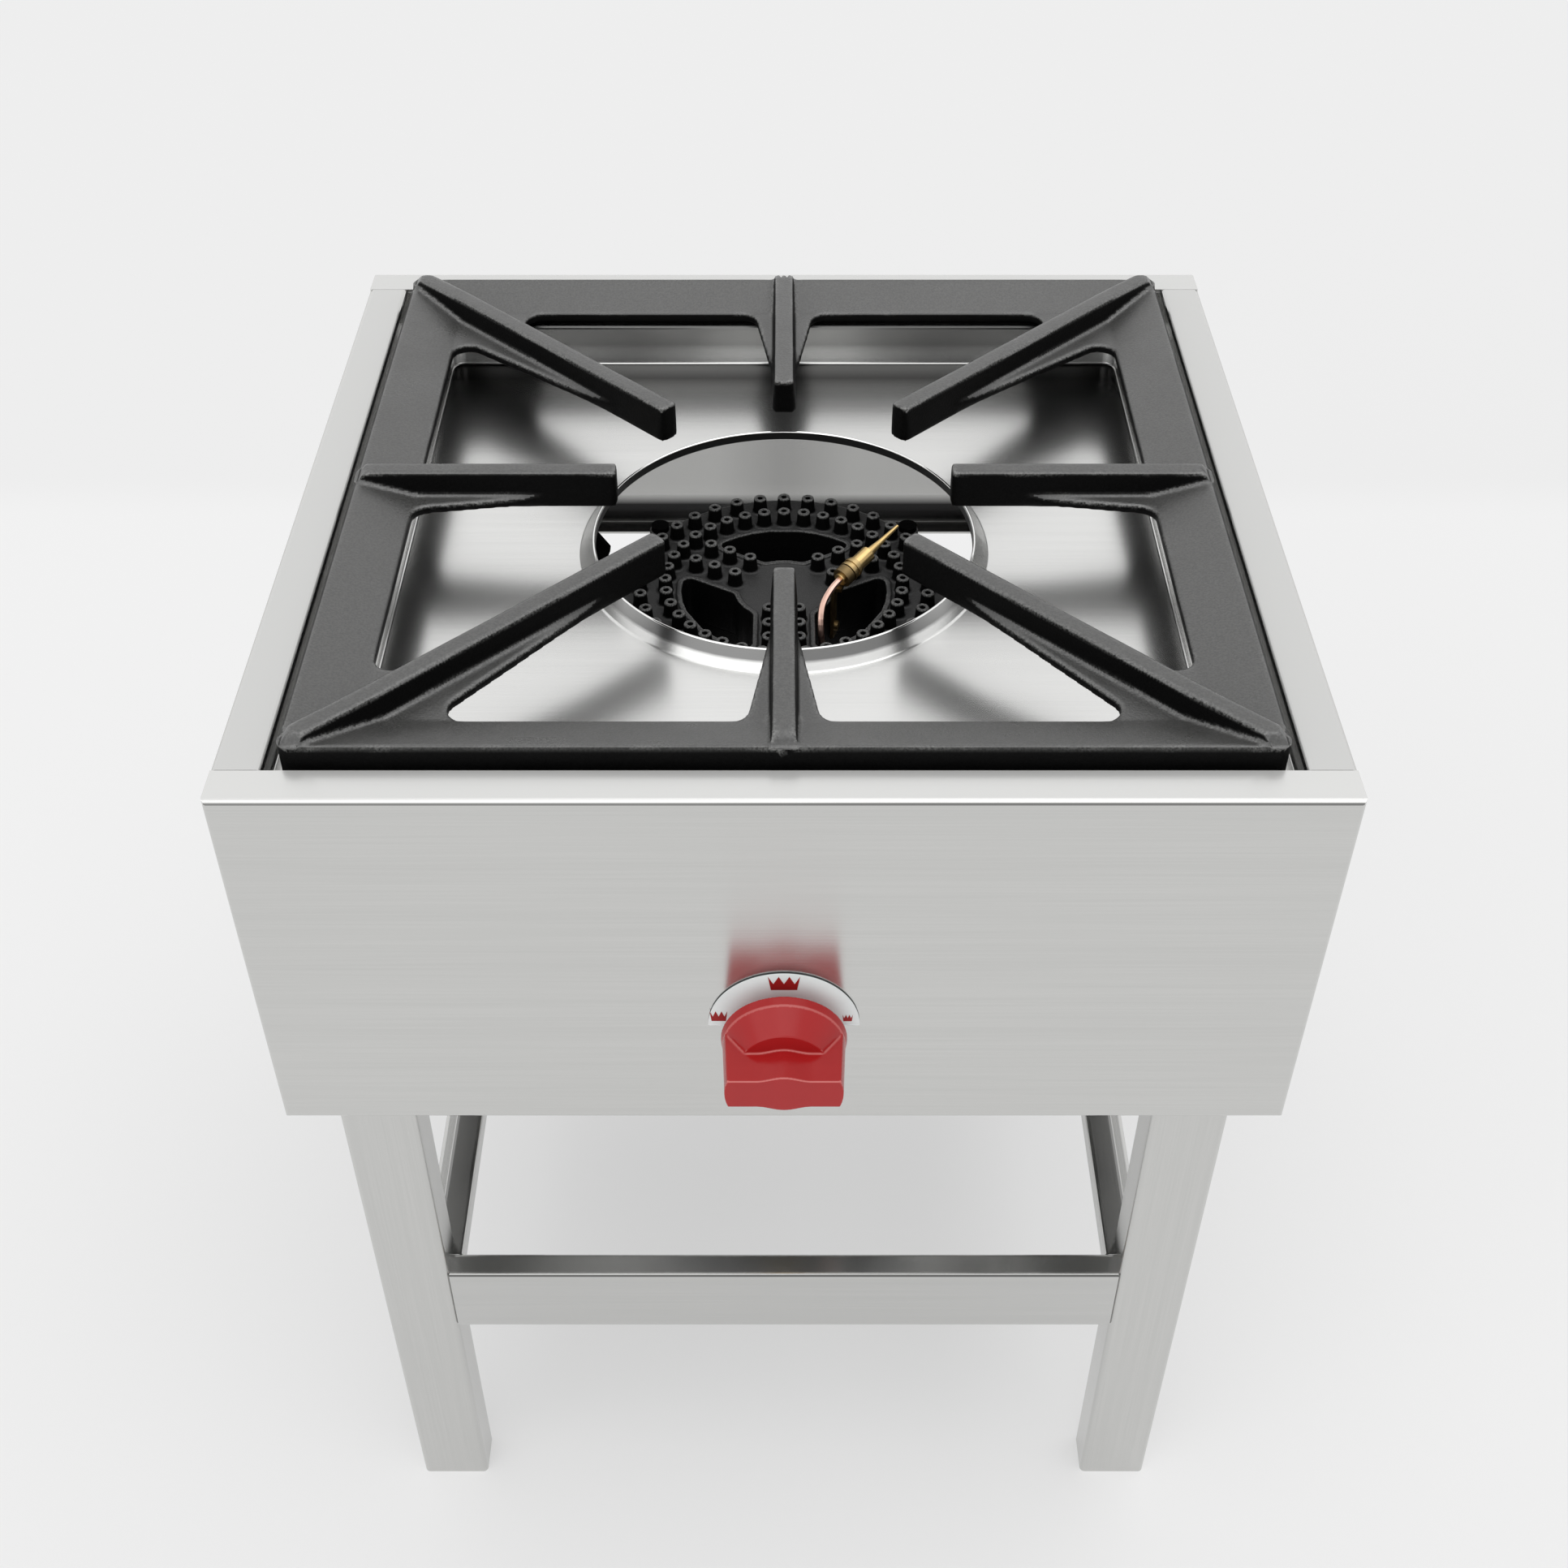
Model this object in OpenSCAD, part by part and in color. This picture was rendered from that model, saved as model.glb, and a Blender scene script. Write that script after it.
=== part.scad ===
// Single burner gas stove: a folded steel casing on four square legs, with a lift-out
// drip tray, a cast pan grate and a cast multi-jet burner under it.
// The origin is on the floor, under the middle of the casing. +Z is up and -Y is the front.

/* [Casing] */
// Width of the casing, left to right
body_w = 500; // [470:5:640]
// Depth of the casing, front to back
body_d = 480; // [460:5:620]
// Height of the flat top rails above the floor
top_z = 600; // [540:5:900]
// Height of the front and side panels
panel_h = 214; // [196:2:260]
// Height of the rear panel, which stops short of the others
rear_panel_h = 182; // [174:2:196]
// Depth of the flange under the rear panel
rear_return = 14; // [10:1:18]
// Thickness of the casing sheet
sheet_t = 1.5; // [1:0.1:2]
// Outside radius of each bend in the sheet
bend_r = 2.5; // [2.2:0.1:3.5]
// Radius of the upright outer corners
corner_r = 3; // [2:0.5:6]
// Width of the flat rail along each side
side_rail = 22.5; // [18:0.5:28]
// Depth of the flat rail along the front and the rear
end_rail = 20.5; // [18:0.5:28]
// Depth of the rebate that the tray and the grate sit in
rebate = 12; // [10:0.5:18]
// Width of the ledge at the foot of the rebate
ledge_w = 13; // [12:0.5:15]

/* [Legs] */
// Width of the leg tube, along the casing's front
leg_w = 40; // [30:1:50]
// Depth of the leg tube, towards the rear
leg_d = 25; // [20:1:40]
// Wall of the leg tube
leg_wall = 1.5; // [1:0.1:3]
// Outside corner radius of the leg tube
leg_corner = 3; // [2:0.5:5]
// Distance from the casing's faces in to the legs
leg_inset = 20; // [16:1:26]
// Distance from the top rails down to the top of the legs
leg_drop = 45; // [42:1:60]
// Thickness of the base of the leg plugs
plug_t = 3; // [2:0.5:5]
// Height of the leg plugs
plug_h = 18; // [12:1:30]
// Height of the stretchers' lower edge above the floor
stretcher_z = 167; // [100:1:200]
// Height of the stretchers
stretcher_h = 51; // [40:1:70]
// Depth of the stretchers' top flange
stretcher_flange = 15.5; // [12:0.5:20]
// Height of the lip that hangs from the top flange
stretcher_lip = 13; // [8:1:20]
// Width of the step on the outer side of the side stretchers
step_w = 10.5; // [8:0.5:14]
// Height of that step below the top flange
step_h = 20; // [14:1:26]
// How far the side stretchers stand in from the legs' inner faces
stretcher_in = 6; // [4:0.5:9]

/* [Drip tray] */
// Thickness of the tray sheet
tray_t = 1.2; // [0.8:0.1:1.5]
// Depth of the tray floor below the ledge
tray_depth = 23; // [20:1:27]
// Gap between the tray and the rebate walls
tray_gap = 2.2; // [1.5:0.1:3]
// Width of the tray's flange
tray_flange = 22.3; // [18:0.1:23]
// How far the tray wall leans out
tray_wall_run = 3; // [2:0.5:8]
// Corner radius of the tray floor
tray_corner = 8; // [6:1:16]
// Outside radius of the tray's bends
tray_bend_r = 3; // [2.5:0.5:4]
// Radius of the round hole over the burner
collar_r = 100; // [98:1:106]
// How far the collar's foot lies outside the hole
collar_run = 8; // [6:1:12]
// Height of the collar above the tray floor
collar_h = 8.5; // [6:0.5:12]

/* [Pan grate] */
// Gap between the grate and the side rails
grate_side_gap = 6; // [5:0.5:14]
// Gap between the grate and the front and rear rails
grate_end_gap = 1.5; // [1:0.5:5]
// Width of the grate's frame
frame_w = 31; // [24:1:36]
// Height of the frame's outer edge above the rails
frame_rise = 8; // [4:0.5:12]
// How far the frame slopes down towards its inner edge
frame_slope = 7; // [3:0.5:9]
// Thickness of the sloping web
web_t = 5; // [4:0.5:7]
// Thickness of the outer skirt
skirt_t = 8; // [6:0.5:10]
// Radius of the frame's outer corners
frame_corner = 7; // [6:1:14]
// Height of the finger tops above the rails
finger_rise = 14; // [13:0.5:20]
// Depth of a finger
finger_h = 20; // [16:1:22]
// Width of a finger along its top
finger_w = 10.5; // [8:0.5:14]
// How much wider a finger is at its foot
finger_draft = 3; // [1:0.5:5]
// Distance from the centre to the finger tips
tip_r = 86.5; // [70:0.5:95]
// Distance from the centre at which the webs beside the fingers end
web_r = 113; // [105:1:125]
// Half width of the web beside a straight finger, at the frame
web_half = 17; // [12:1:22]
// Half width of the web beside a corner finger, at the frame
corner_web_half = 22; // [16:1:26]
// Corner radius of the windows
window_r = 9; // [5:1:12]

/* [Burner] */
// Depth of the jet tops below the tray floor
jets_below = 20; // [16:1:26]
// Height of a jet
jet_h = 9; // [8:0.5:12]
// Diameter of a jet above its flared foot
jet_foot_d = 8.2; // [7.4:0.2:8.6]
// Diameter of a jet at its top
jet_top_d = 7; // [5.6:0.2:7.2]
// Diameter of the gas hole in a jet
jet_hole_d = 3; // [1.5:0.5:4]
// Depth of the gas hole
jet_hole_h = 7; // [4:0.5:7.5]
// Radius of the outer row of jets
outer_row_r = 78; // [77:0.5:78.5]
// Radius of the inner row of jets
inner_row_r = 64; // [63:0.5:66]
// Number of jets in each row
row_jets = 36; // [24:2:36]
// Distances from the centre of the jets on a spoke
spoke_rows = [26, 39, 51]; // [24:1:54]
// Half the distance between the two columns of jets on a spoke
spoke_column = 8; // [7:0.5:10]
// Radius of the burner castings
burner_r = 88; // [86:0.5:90]
// Radius of the outer side of the air openings
opening_out_r = 55.5; // [54:0.5:56]
// Radius of the hub between the air openings
hub_r = 27; // [24:1:30]
// Half width of a spoke
spoke_half = 16.5; // [15:0.5:18]
// Width of the raised bead round an air opening
bead_w = 2.6; // [1.5:0.1:3]
// Height of that bead
bead_h = 1.2; // [0.6:0.2:2]
// Depth of the upper casting
head_h = 27; // [20:1:30]
// Depth of the lower casting
bowl_h = 25; // [20:1:34]
// Distance from the centre to the screws in the ears
ear_r = 91; // [90:0.5:93]
// Radius of an ear
ear_size = 6; // [5:0.5:6.5]
// Radius of the ear screws
ear_screw_r = 2.5; // [2:0.5:3]

/* [Burner supports] */
// Distance of the support bars from the centre
bar_y = 50; // [48:1:54]
// Width of a support bar
bar_w = 26; // [22:1:30]
// Thickness of a support bar
bar_t = 4; // [3:0.5:5]
// Height of the tabs at the ends of a bar
bar_tab_h = 25; // [16:1:40]
// Distance of the bolts from the middle of a bar
bolt_x = 40; // [36:1:44]
// Radius of the bolts
bolt_r = 3; // [2:0.5:4]
// Distance of the locating lug's inner edge from the centre
lug_x = 97.5; // [95:0.5:104]
// Height of the locating lug
lug_h = 56; // [40:1:62]

/* [Gas and air] */
// Distance from the burner's underside to the axis of the mixer tube
mixer_drop = 27; // [25:1:36]
// Outside radius of the mixer tube
mixer_r = 17; // [15:0.5:19]
// Wall of the mixer tube
mixer_wall = 4; // [3:0.5:5]
// Distance from the burner centre to the mixer's mouth
mouth_y = 97; // [92:1:100]
// Radius of the mixer's mouth
mouth_r = 24; // [22:0.5:25]
// Thickness of the plate across the mouth
mouth_t = 3; // [2:0.5:4]
// Radius of the air holes
air_hole_r = 4.5; // [3:0.5:4.5]
// Distance of the air holes from the axis
air_hole_pitch = 15; // [13:0.5:15]
// Thickness of the air shutter
shutter_t = 2; // [1:0.5:3]
// Clearance on each side of the air shutter
shutter_gap = 0.3; // [0.2:0.1:0.6]
// Length of the shutter's tab
shutter_tab = 10; // [6:1:14]
// Radial running clearance of shafts in their holes
run_gap = 0.05; // [0.02:0.01:0.1]
// Radius of the injector's neck
injector_neck_r = 6; // [5:0.5:7]
// Radius of the injector holder
injector_r = 9; // [8:0.5:10]
// Radius of the tube from the tap to the injector
feed_r = 5; // [4:0.5:6]
// Radius of the supply pipe
pipe_r = 7; // [5:0.5:8]
// Distance of the supply pipe from the middle of the stove
pipe_x = 150; // [120:1:165]
// Radius of the threaded gas inlet
inlet_r = 10.5; // [10:0.1:13]
// How far the gas inlet stands out behind the casing
inlet_out = 43; // [30:1:60]

/* [Tap and knob] */
// Radius of the tap's threaded neck
neck_r = 9; // [8:0.5:10]
// Radius of the tap body
tap_r = 14; // [13:0.5:16]
// Radius of the spindle
spindle_r = 4; // [3:0.5:5]
// Travel of the knob when it is pushed in
push_travel = 5; // [3:0.5:5]
// Radius of the white dial plate
dial_r = 36; // [34:1:42]
// Thickness of the dial plate
dial_t = 1; // [0.5:0.1:1.2]
// Radius of the knob next to the panel
knob_r = 30; // [29.5:0.5:32]
// Radius of the knob's skirt where its cone begins
rim_r = 29; // [27:0.5:29.5]
// Radius of the flat face that the grip stands on
boss_r = 20.5; // [18:0.5:24]
// Radius of the knob at its front
knob_front_r = 27.5; // [24:0.5:28]
// Distance from the panel to the back of the knob
knob_gap = 9.5; // [9.5:0.5:12]
// Distance from the panel to the front of the knob
knob_reach = 43; // [38:1:50]
// Thickness of the knob's skirt at its rim
skirt_rim = 4.5; // [3:0.5:6]
// Depth of the knob's flat face
grip_foot = 16.5; // [12:0.5:18]
// Half the thickness of the grip bar
grip_half = 9; // [7:0.5:11]
// Height of the swelling in the middle of the grip
grip_wave = 2.5; // [1:0.5:4]

/* [Thermocouple] */
// Radius of the brass body
probe_r = 4.3; // [3:0.1:4.5]
// Length of the brass body
probe_body = 24; // [20:1:28]
// Radius of the copper tube
capillary_r = 1.8; // [1.2:0.1:2]

/* [Hidden] */
$fn = 64;

// Facets in a bend or a rounded corner of an outline
bend_steps = 4;
corner_steps = 6;
// Overshoot of a cutting shape past the face that it cuts
cut = 1;
// Gap at a welded seam, and between pieces that rest on each other but lift apart
seam = 0.3;
rest_gap = 0.3;

// Casing
half_w = body_w / 2;
half_d = body_d / 2;
open_x = half_w - side_rail;
open_y = half_d - end_rail;
ledge_z = top_z - rebate;
mid_r = bend_r - sheet_t / 2;

// Legs
leg_x = half_w - leg_inset - leg_w / 2;
leg_y = half_d - leg_inset - leg_d / 2;
leg_top = top_z - leg_drop;
spacer_h = 30;
spacer_t = 2;
stretcher_top = stretcher_z + stretcher_h;
stretcher_x = half_w - leg_inset - leg_w - stretcher_in;

// Tray
tray_x = open_x - tray_gap;
tray_y = open_y - tray_gap;
tray_rim_z = ledge_z + rest_gap;
tray_floor_z = ledge_z - tray_depth;
tray_out = tray_corner + tray_wall_run + tray_flange;
tray_cx = tray_x - tray_out;
tray_cy = tray_y - tray_out;
collar_flat = 4;
collar_foot_r = collar_r + collar_run;
collar_edge_r = collar_foot_r + collar_flat;

// Grate
grate_x = open_x - grate_side_gap;
grate_y = open_y - grate_end_gap;
grate_z = tray_rim_z + tray_t + rest_gap;
frame_z = top_z + frame_rise;
web_z = frame_z - frame_slope;
finger_z = top_z + finger_rise;
frame_ix = grate_x - frame_w;
frame_iy = grate_y - frame_w;
frame_edge = 2;
finger_tip_round = 4;
finger_top_round = 1.6;
finger_foot_round = 1;
diagonal = [grate_x, grate_y] / norm([grate_x, grate_y]);
diagonal_side = [diagonal.y, -diagonal.x];
inner_corner_r = norm([frame_ix, frame_iy]);

// Burner
jet_top_z = tray_floor_z - jets_below;
head_top_z = jet_top_z - jet_h;
head_z = head_top_z - head_h;
bowl_z = head_z - bowl_h;
spoke_angles = [30, 150, 270];
opening_angles = [90, 210, 330];
ear_angles = [40, 140, 270];
opening_corner_r = 4;
jet_flare = 0.8;
jet_bevel = 0.4;
hub_corner_r = 4;
screw_head_h = 3;

// Supports
bar_z = bowl_z - bar_t;
bar_half_l = half_w - sheet_t;
bolt_head_h = 4;
bolt_head_r = 1.8 * bolt_r;
lug_t = 4;
lug_w = 14.5;
lug_nose = 3.5;
lug_nose_foot = 20;
lug_nose_tip = 11;
lug_slope = 7.5;

// Gas and air
axis_z = bowl_z - mixer_drop;
mixer_flange_r = mixer_r + 9;
mixer_flange_t = 5;
mixer_flange_z = bowl_z - mixer_flange_t;
mixer_bend = mixer_drop - mixer_flange_t;
mouth_l = mouth_t + 4;
venturi_l = 22;
holder_y = -mouth_y - 2 * shutter_gap - shutter_t;
holder_l = 24;
holder_mid_y = holder_y - holder_l / 2;
holder_side = 14;
holder_boss_r = feed_r + 2;
nozzle_r = injector_neck_r / 2;
nozzle_l = 6;
neck_in = 4;
tab_w = 12;
feed_bend = 10;
pipe_bend = 22;
inlet_in = 26;
inlet_socket = 10;
inlet_socket_r = pipe_r + 2.5;
inlet_neck_r = inlet_r + 1.5;
inlet_hex_r = inlet_neck_r + 4;
inlet_relief = 1;
inlet_collar_t = 10;
locknut_t = 6;

// Tap and knob
panel_back = -half_d + sheet_t;
tap_flange_t = 4.5;
tap_flange_r = tap_r + 1.5;
tap_nut_t = 3;
tap_nut_r = neck_r + 4.5;
dial_ring_r = neck_r + 6;
neck_front = -half_d - dial_t - tap_nut_t;
tap_main_l = 38;
magnet_r = tap_r - 3;
magnet_l = 24;
tail_thread_r = 5;
tail_thread_l = 6;
tap_main_y = panel_back + tap_flange_t;
magnet_y = tap_main_y + tap_main_l;
tail_y = magnet_y + magnet_l;
tail_end_y = tail_y + tail_thread_l;
inlet_boss_y = tap_main_y + 22;
inlet_boss_r = pipe_r + 3;
inlet_boss_x = tap_r + 16;
outlet_boss_y = tap_main_y + 30;
outlet_boss_r = feed_r + 3;
outlet_boss_x = tap_r + 12;
spindle_back = tap_main_y + 7;
chamber_front = spindle_back - 2;
chamber_back = spindle_back + push_travel + 8;
chamber_r = spindle_r + 2;
rod_r = spindle_r - 1.5;
rod_back = magnet_y + 3;
rod_head_t = 3;
valve_r = rod_r + 3;
valve_front = magnet_y - 2;
valve_back = tail_y - 6;
knob_back = -half_d - knob_gap;
knob_depth = knob_reach - knob_gap;
spindle_in_knob = knob_depth / 2;
wave_steps = 16;
wave_half = 13;
supply_nut_l = 10;

// Thermocouple
probe_tip = [61.8, 26.6, jet_top_z + 15];
probe_tail = [29.7, -9.5, jet_top_z + 5];
probe_dir = (probe_tip - probe_tail) / norm(probe_tip - probe_tail);
probe_l = norm(probe_tip - probe_tail);
probe_yaw = atan2(probe_dir.y, probe_dir.x);
probe_tilt = acos(probe_dir.z);
probe_foot_r = probe_r - 0.8;
probe_step = 0.3 * probe_body;
probe_shoulder_r = 0.62 * probe_r;
probe_cone_l = 0.4 * (probe_l - probe_body);
probe_cone_r = 1.6;
probe_point_r = 0.8;
nut_ring_w = 1.6;
nut_ring_r = probe_r + 1.3;
nut_groove_r = probe_r + 0.7;
tail_nut_l = 8;
tail_nut_r = tail_thread_r + 0.6;
clip_az = -17;
clip_t = 2;
clip_w = 6;
clip_at = 4;
clip_ring_w = 5;
clip_drop = 5;
clip_foot_z = head_z + 3;
clip_screw_r = 2.8;
clip_screw_h = 1.8;
clip_screw_z = clip_foot_z + 7;
// Route of the copper tube: down through the front right air opening, under the support
// bar and forward beside the mixer to the tail of the tap
tube_route = [
    probe_tail,
    [25, -15.5, jet_top_z + 3],
    [20.5, -24, jet_top_z - 1],
    [19.4, -32, jet_top_z - 8],
    [20.5, -36, jet_top_z - 20],
    [23.5, -34, bowl_z + 18],
    [27.5, -29, bowl_z - 2],
    [31, -33, axis_z + 12],
    [33, -52, axis_z + 4],
    [33, -80, axis_z],
    [32, -mouth_y - 14, axis_z],
    [27, tail_end_y + 30, axis_z],
    [10, tail_end_y + 20, axis_z],
    [0.5, tail_end_y + 12, axis_z],
    [0, tail_end_y + tail_nut_l, axis_z]
];
tube_steps = 4;
tube_sides = 8;

steel = [0.76, 0.76, 0.74];
dark_iron = [0.13, 0.13, 0.13];
brass = [0.78, 0.62, 0.32];

function unit(v) = v / norm(v);
function turned(v, a) = [v.x * cos(a) - v.y * sin(a), v.x * sin(a) + v.y * cos(a)];
function slice(list, first, last) = [for (i = [first:last]) list[i]];
function reversed(list) = [for (i = [len(list) - 1:-1:0]) list[i]];
function flat(list) = [for (part = list) for (p = part) p];

// Points of one rounded corner b of an outline, between its neighbours a and c
function corner_arc(a, b, c, r, steps) =
    let (u = unit(b - a), v = unit(c - b))
    let (way = sign(u.x * v.y - u.y * v.x), angle = acos(u * v))
    let (centre = b - u * r * tan(angle / 2) + way * r * [-u.y, u.x])
    r == 0 || way == 0 ? [b] :
    [for (k = [0:steps]) centre + turned(-way * r * [-u.y, u.x], way * angle * k / steps)];

// A closed outline with a radius at each of its corners
function rounded(points, radii, steps = corner_steps) =
    let (n = len(points))
    flat([for (i = [0:n - 1])
        corner_arc(points[(i + n - 1) % n], points[i], points[(i + 1) % n], radii[i], steps)]);

// One side of a bent sheet: the middle line moved to its left by shift
function sheet_side(path, r, shift) =
    let (n = len(path), u = unit(path[1] - path[0]), v = unit(path[n - 1] - path[n - 2]))
    concat(
        [path[0] + shift * [-u.y, u.x]],
        flat([for (i = [1:n - 2])
            let (a = unit(path[i] - path[i - 1]), b = unit(path[i + 1] - path[i]))
            let (way = sign(a.x * b.y - a.y * b.x), angle = acos(a * b))
            let (centre = path[i] - a * r * tan(angle / 2) + way * r * [-a.y, a.x])
            [for (k = [0:bend_steps])
                centre + turned((shift - way * r) * [-a.y, a.x], way * angle * k / bend_steps)]
        ]),
        [path[n - 1] + shift * [-v.y, v.x]]
    );

// Cross-section of a folded sheet along its middle line
module folded(path, t, r) {
    polygon(concat(sheet_side(path, r, t / 2), reversed(sheet_side(path, r, -t / 2))));
}

// A rectangle with true round corners, on its centre
module round_rect(w, d, r) {
    square([w - 2 * r, d], center = true);
    square([w, d - 2 * r], center = true);
    for (sx = [-1, 1], sy = [-1, 1]) {
        translate([sx * (w / 2 - r), sy * (d / 2 - r)]) circle(r = r);
    }
}

// Cylinder along +Y from y0 to y1, on the axis through x and z
module rod_y(r, y0, y1, x = 0, z = axis_z) {
    translate([x, y1, z]) rotate([90, 0, 0]) cylinder(r = r, h = y1 - y0);
}

// Cylinder along +X from x0 to x1, on the axis through y and z
module rod_x(r, x0, x1, y, z = axis_z) {
    translate([x0, y, z]) rotate([0, 90, 0]) cylinder(r = r, h = x1 - x0);
}

// Six-sided nut along +Y, where r is half the distance across its flats
module hex_y(r, y0, y1, x = 0, z = axis_z) {
    translate([x, y1, z]) rotate([90, 0, 0]) cylinder(r = r / cos(30), h = y1 - y0, $fn = 6);
}

// Quarter bend of a round bar, from its centre towards +X and then +Y
module elbow(bend, r) {
    rotate_extrude(angle = 90) translate([bend, 0]) circle(r = r);
}

// Casing panels: the sheet is drawn with its outer face at 0 and the inside to the right

// Middle line of a panel of height h, from the bottom flange to the ledge
function panel_path(h, rail, return_l) = [
    [return_l, top_z - h + sheet_t / 2],
    [sheet_t / 2, top_z - h + sheet_t / 2],
    [sheet_t / 2, top_z - sheet_t / 2],
    [rail - sheet_t / 2, top_z - sheet_t / 2],
    [rail - sheet_t / 2, ledge_z - sheet_t / 2],
    [rail + ledge_w, ledge_z - sheet_t / 2]
];

// A bent sheet that stands along the front, from -half_l to half_l
module panel_run(path, half_l) {
    translate([-half_l, -half_d, 0]) rotate([90, 0, 90])
        linear_extrude(2 * half_l) folded(path, sheet_t, mid_r);
}

// The rounded block that trims the casing's corners
module casing_block() {
    translate([0, 0, top_z - panel_h - cut])
        linear_extrude(panel_h + 2 * cut) round_rect(body_w, body_d, corner_r);
}

// Panel across the front or the rear: its face and rail run the full width, the
// rebate wall fits between the side rails, and the ledge between the side ledges
module end_panel(h, return_l) {
    path = panel_path(h, end_rail, return_l);
    rail_end = [end_rail, top_z - sheet_t / 2];
    wall_end = [end_rail - sheet_t / 2, ledge_z - sheet_t];
    intersection() {
        union() {
            panel_run(concat(slice(path, 0, 2), [rail_end]), half_w);
            panel_run(concat(slice(path, 0, 3), [wall_end]), open_x);
            panel_run(path, open_x - ledge_w);
        }
        casing_block();
    }
}

module front_panel() {
    color(steel)
    difference() {
        end_panel(panel_h, leg_inset);
        rod_y(neck_r + run_gap, -half_d - cut, panel_back + cut);
    }
}

// Its flange and its bends end at the side panels' faces
module rear_panel() {
    fold_cut = sheet_t + seam;
    color(steel)
    difference() {
        rotate([0, 0, 180]) end_panel(rear_panel_h, rear_return);
        rod_y(inlet_neck_r + run_gap, half_d - sheet_t - cut, half_d + cut, x = pipe_x);
        for (sx = [-1, 1]) {
            translate([sx * half_w - fold_cut, half_d - sheet_t - end_rail, top_z - rear_panel_h - cut])
                cube([2 * fold_cut, end_rail, rear_panel_h - sheet_t + cut]);
        }
    }
}

// Left side panel: folded like the front, with a flat face that reaches both end panels
module side_panel() {
    face_z = top_z - panel_h + sheet_t;
    intersection() {
        union() {
            translate([-half_w, open_y - seam, 0]) rotate([90, 0, 0])
                linear_extrude(2 * (open_y - seam))
                folded(panel_path(panel_h, side_rail, leg_inset), sheet_t, mid_r);
            translate([-half_w, -half_d + sheet_t, face_z])
                cube([sheet_t, body_d - 2 * sheet_t, panel_h - 2 * sheet_t]);
        }
        casing_block();
    }
}

module left_side_panel() {
    color(steel) side_panel();
}

module right_side_panel() {
    color(steel) mirror([1, 0, 0]) side_panel();
}

// Leg: rectangular tube, from the floor up to just below the tray
module leg(sx, sy) {
    color(steel)
    translate([sx * leg_x, sy * leg_y, 0])
        linear_extrude(leg_top)
        difference() {
            round_rect(leg_w, leg_d, leg_corner);
            round_rect(leg_w - 2 * leg_wall, leg_d - 2 * leg_wall, leg_corner - leg_wall);
        }
}

module front_left_leg() {
    leg(-1, -1);
}

module front_right_leg() {
    leg(1, -1);
}

module rear_left_leg() {
    leg(-1, 1);
}

module rear_right_leg() {
    leg(1, 1);
}

// Plugs that close the feet of the legs, flush with the ends of the tubes
module leg_plugs() {
    inner = [leg_w, leg_d] - [2, 2] * leg_wall;
    color([0.2, 0.2, 0.2])
    for (sx = [-1, 1], sy = [-1, 1]) {
        translate([sx * leg_x, sy * leg_y, 0])
            difference() {
                linear_extrude(plug_h) round_rect(inner.x, inner.y, leg_corner - leg_wall);
                translate([0, 0, plug_t])
                    linear_extrude(plug_h) square(inner - [2, 2] * plug_t, center = true);
            }
    }
}

// Box spacers welded between the tops of the legs and the panels
module leg_spacers() {
    gap = leg_inset - sheet_t;
    color(steel)
    for (sx = [-1, 1], sy = [-1, 1]) {
        translate([sx * leg_x, sy * (half_d - sheet_t - gap / 2), leg_top - spacer_h])
            spacer(leg_w - 2 * leg_corner, gap);
        translate([sx * (half_w - sheet_t - gap / 2), sy * leg_y, leg_top - spacer_h])
            spacer(gap, leg_d - 2 * leg_corner);
    }
}

// One spacer: a short box tube, open at the top and the bottom
module spacer(w, d) {
    linear_extrude(spacer_h)
        difference() {
            square([w, d], center = true);
            square([w - 2 * spacer_t, d - 2 * spacer_t], center = true);
        }
}

// Front stretcher: folded channel with a hanging lip, flush with the legs
module cross_stretcher() {
    path = [
        [stretcher_flange - sheet_t / 2, stretcher_z + sheet_t / 2],
        [sheet_t / 2, stretcher_z + sheet_t / 2],
        [sheet_t / 2, stretcher_top - sheet_t / 2],
        [stretcher_flange - sheet_t / 2, stretcher_top - sheet_t / 2],
        [stretcher_flange - sheet_t / 2, stretcher_top - stretcher_lip]
    ];
    half_l = half_w - leg_inset - leg_w;
    color(steel)
    translate([-half_l, -half_d + leg_inset, 0]) rotate([90, 0, 90])
        linear_extrude(2 * half_l) folded(path, sheet_t, mid_r);
}

module front_stretcher() {
    cross_stretcher();
}

module rear_stretcher() {
    mirror([0, 1, 0]) cross_stretcher();
}

// Left stretcher: the same channel with a step outside its top flange. Its inner part
// runs past the legs to the cross stretchers, so it is notched round the legs
module side_stretcher() {
    top = stretcher_top - sheet_t / 2;
    path = [
        [sheet_t / 2, stretcher_top - stretcher_lip],
        [sheet_t / 2, top],
        [stretcher_flange, top],
        [stretcher_flange, top - step_h],
        [stretcher_flange + step_w, top - step_h],
        [stretcher_flange + step_w, stretcher_z + sheet_t / 2],
        [stretcher_flange, stretcher_z + sheet_t / 2]
    ];
    half_l = half_d - leg_inset - stretcher_flange;
    color(steel)
    difference() {
        translate([-stretcher_x, -half_l, 0]) rotate([90, 0, 180])
            linear_extrude(2 * half_l) folded(path, sheet_t, mid_r);
        for (sy = [-1, 1]) {
            translate([-leg_x - leg_w / 2, sy * leg_y - leg_d / 2, stretcher_z - cut])
                cube([leg_w, leg_d, stretcher_h + 2 * cut]);
        }
    }
}

module left_stretcher() {
    side_stretcher();
}

module right_stretcher() {
    mirror([1, 0, 0]) side_stretcher();
}

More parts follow.
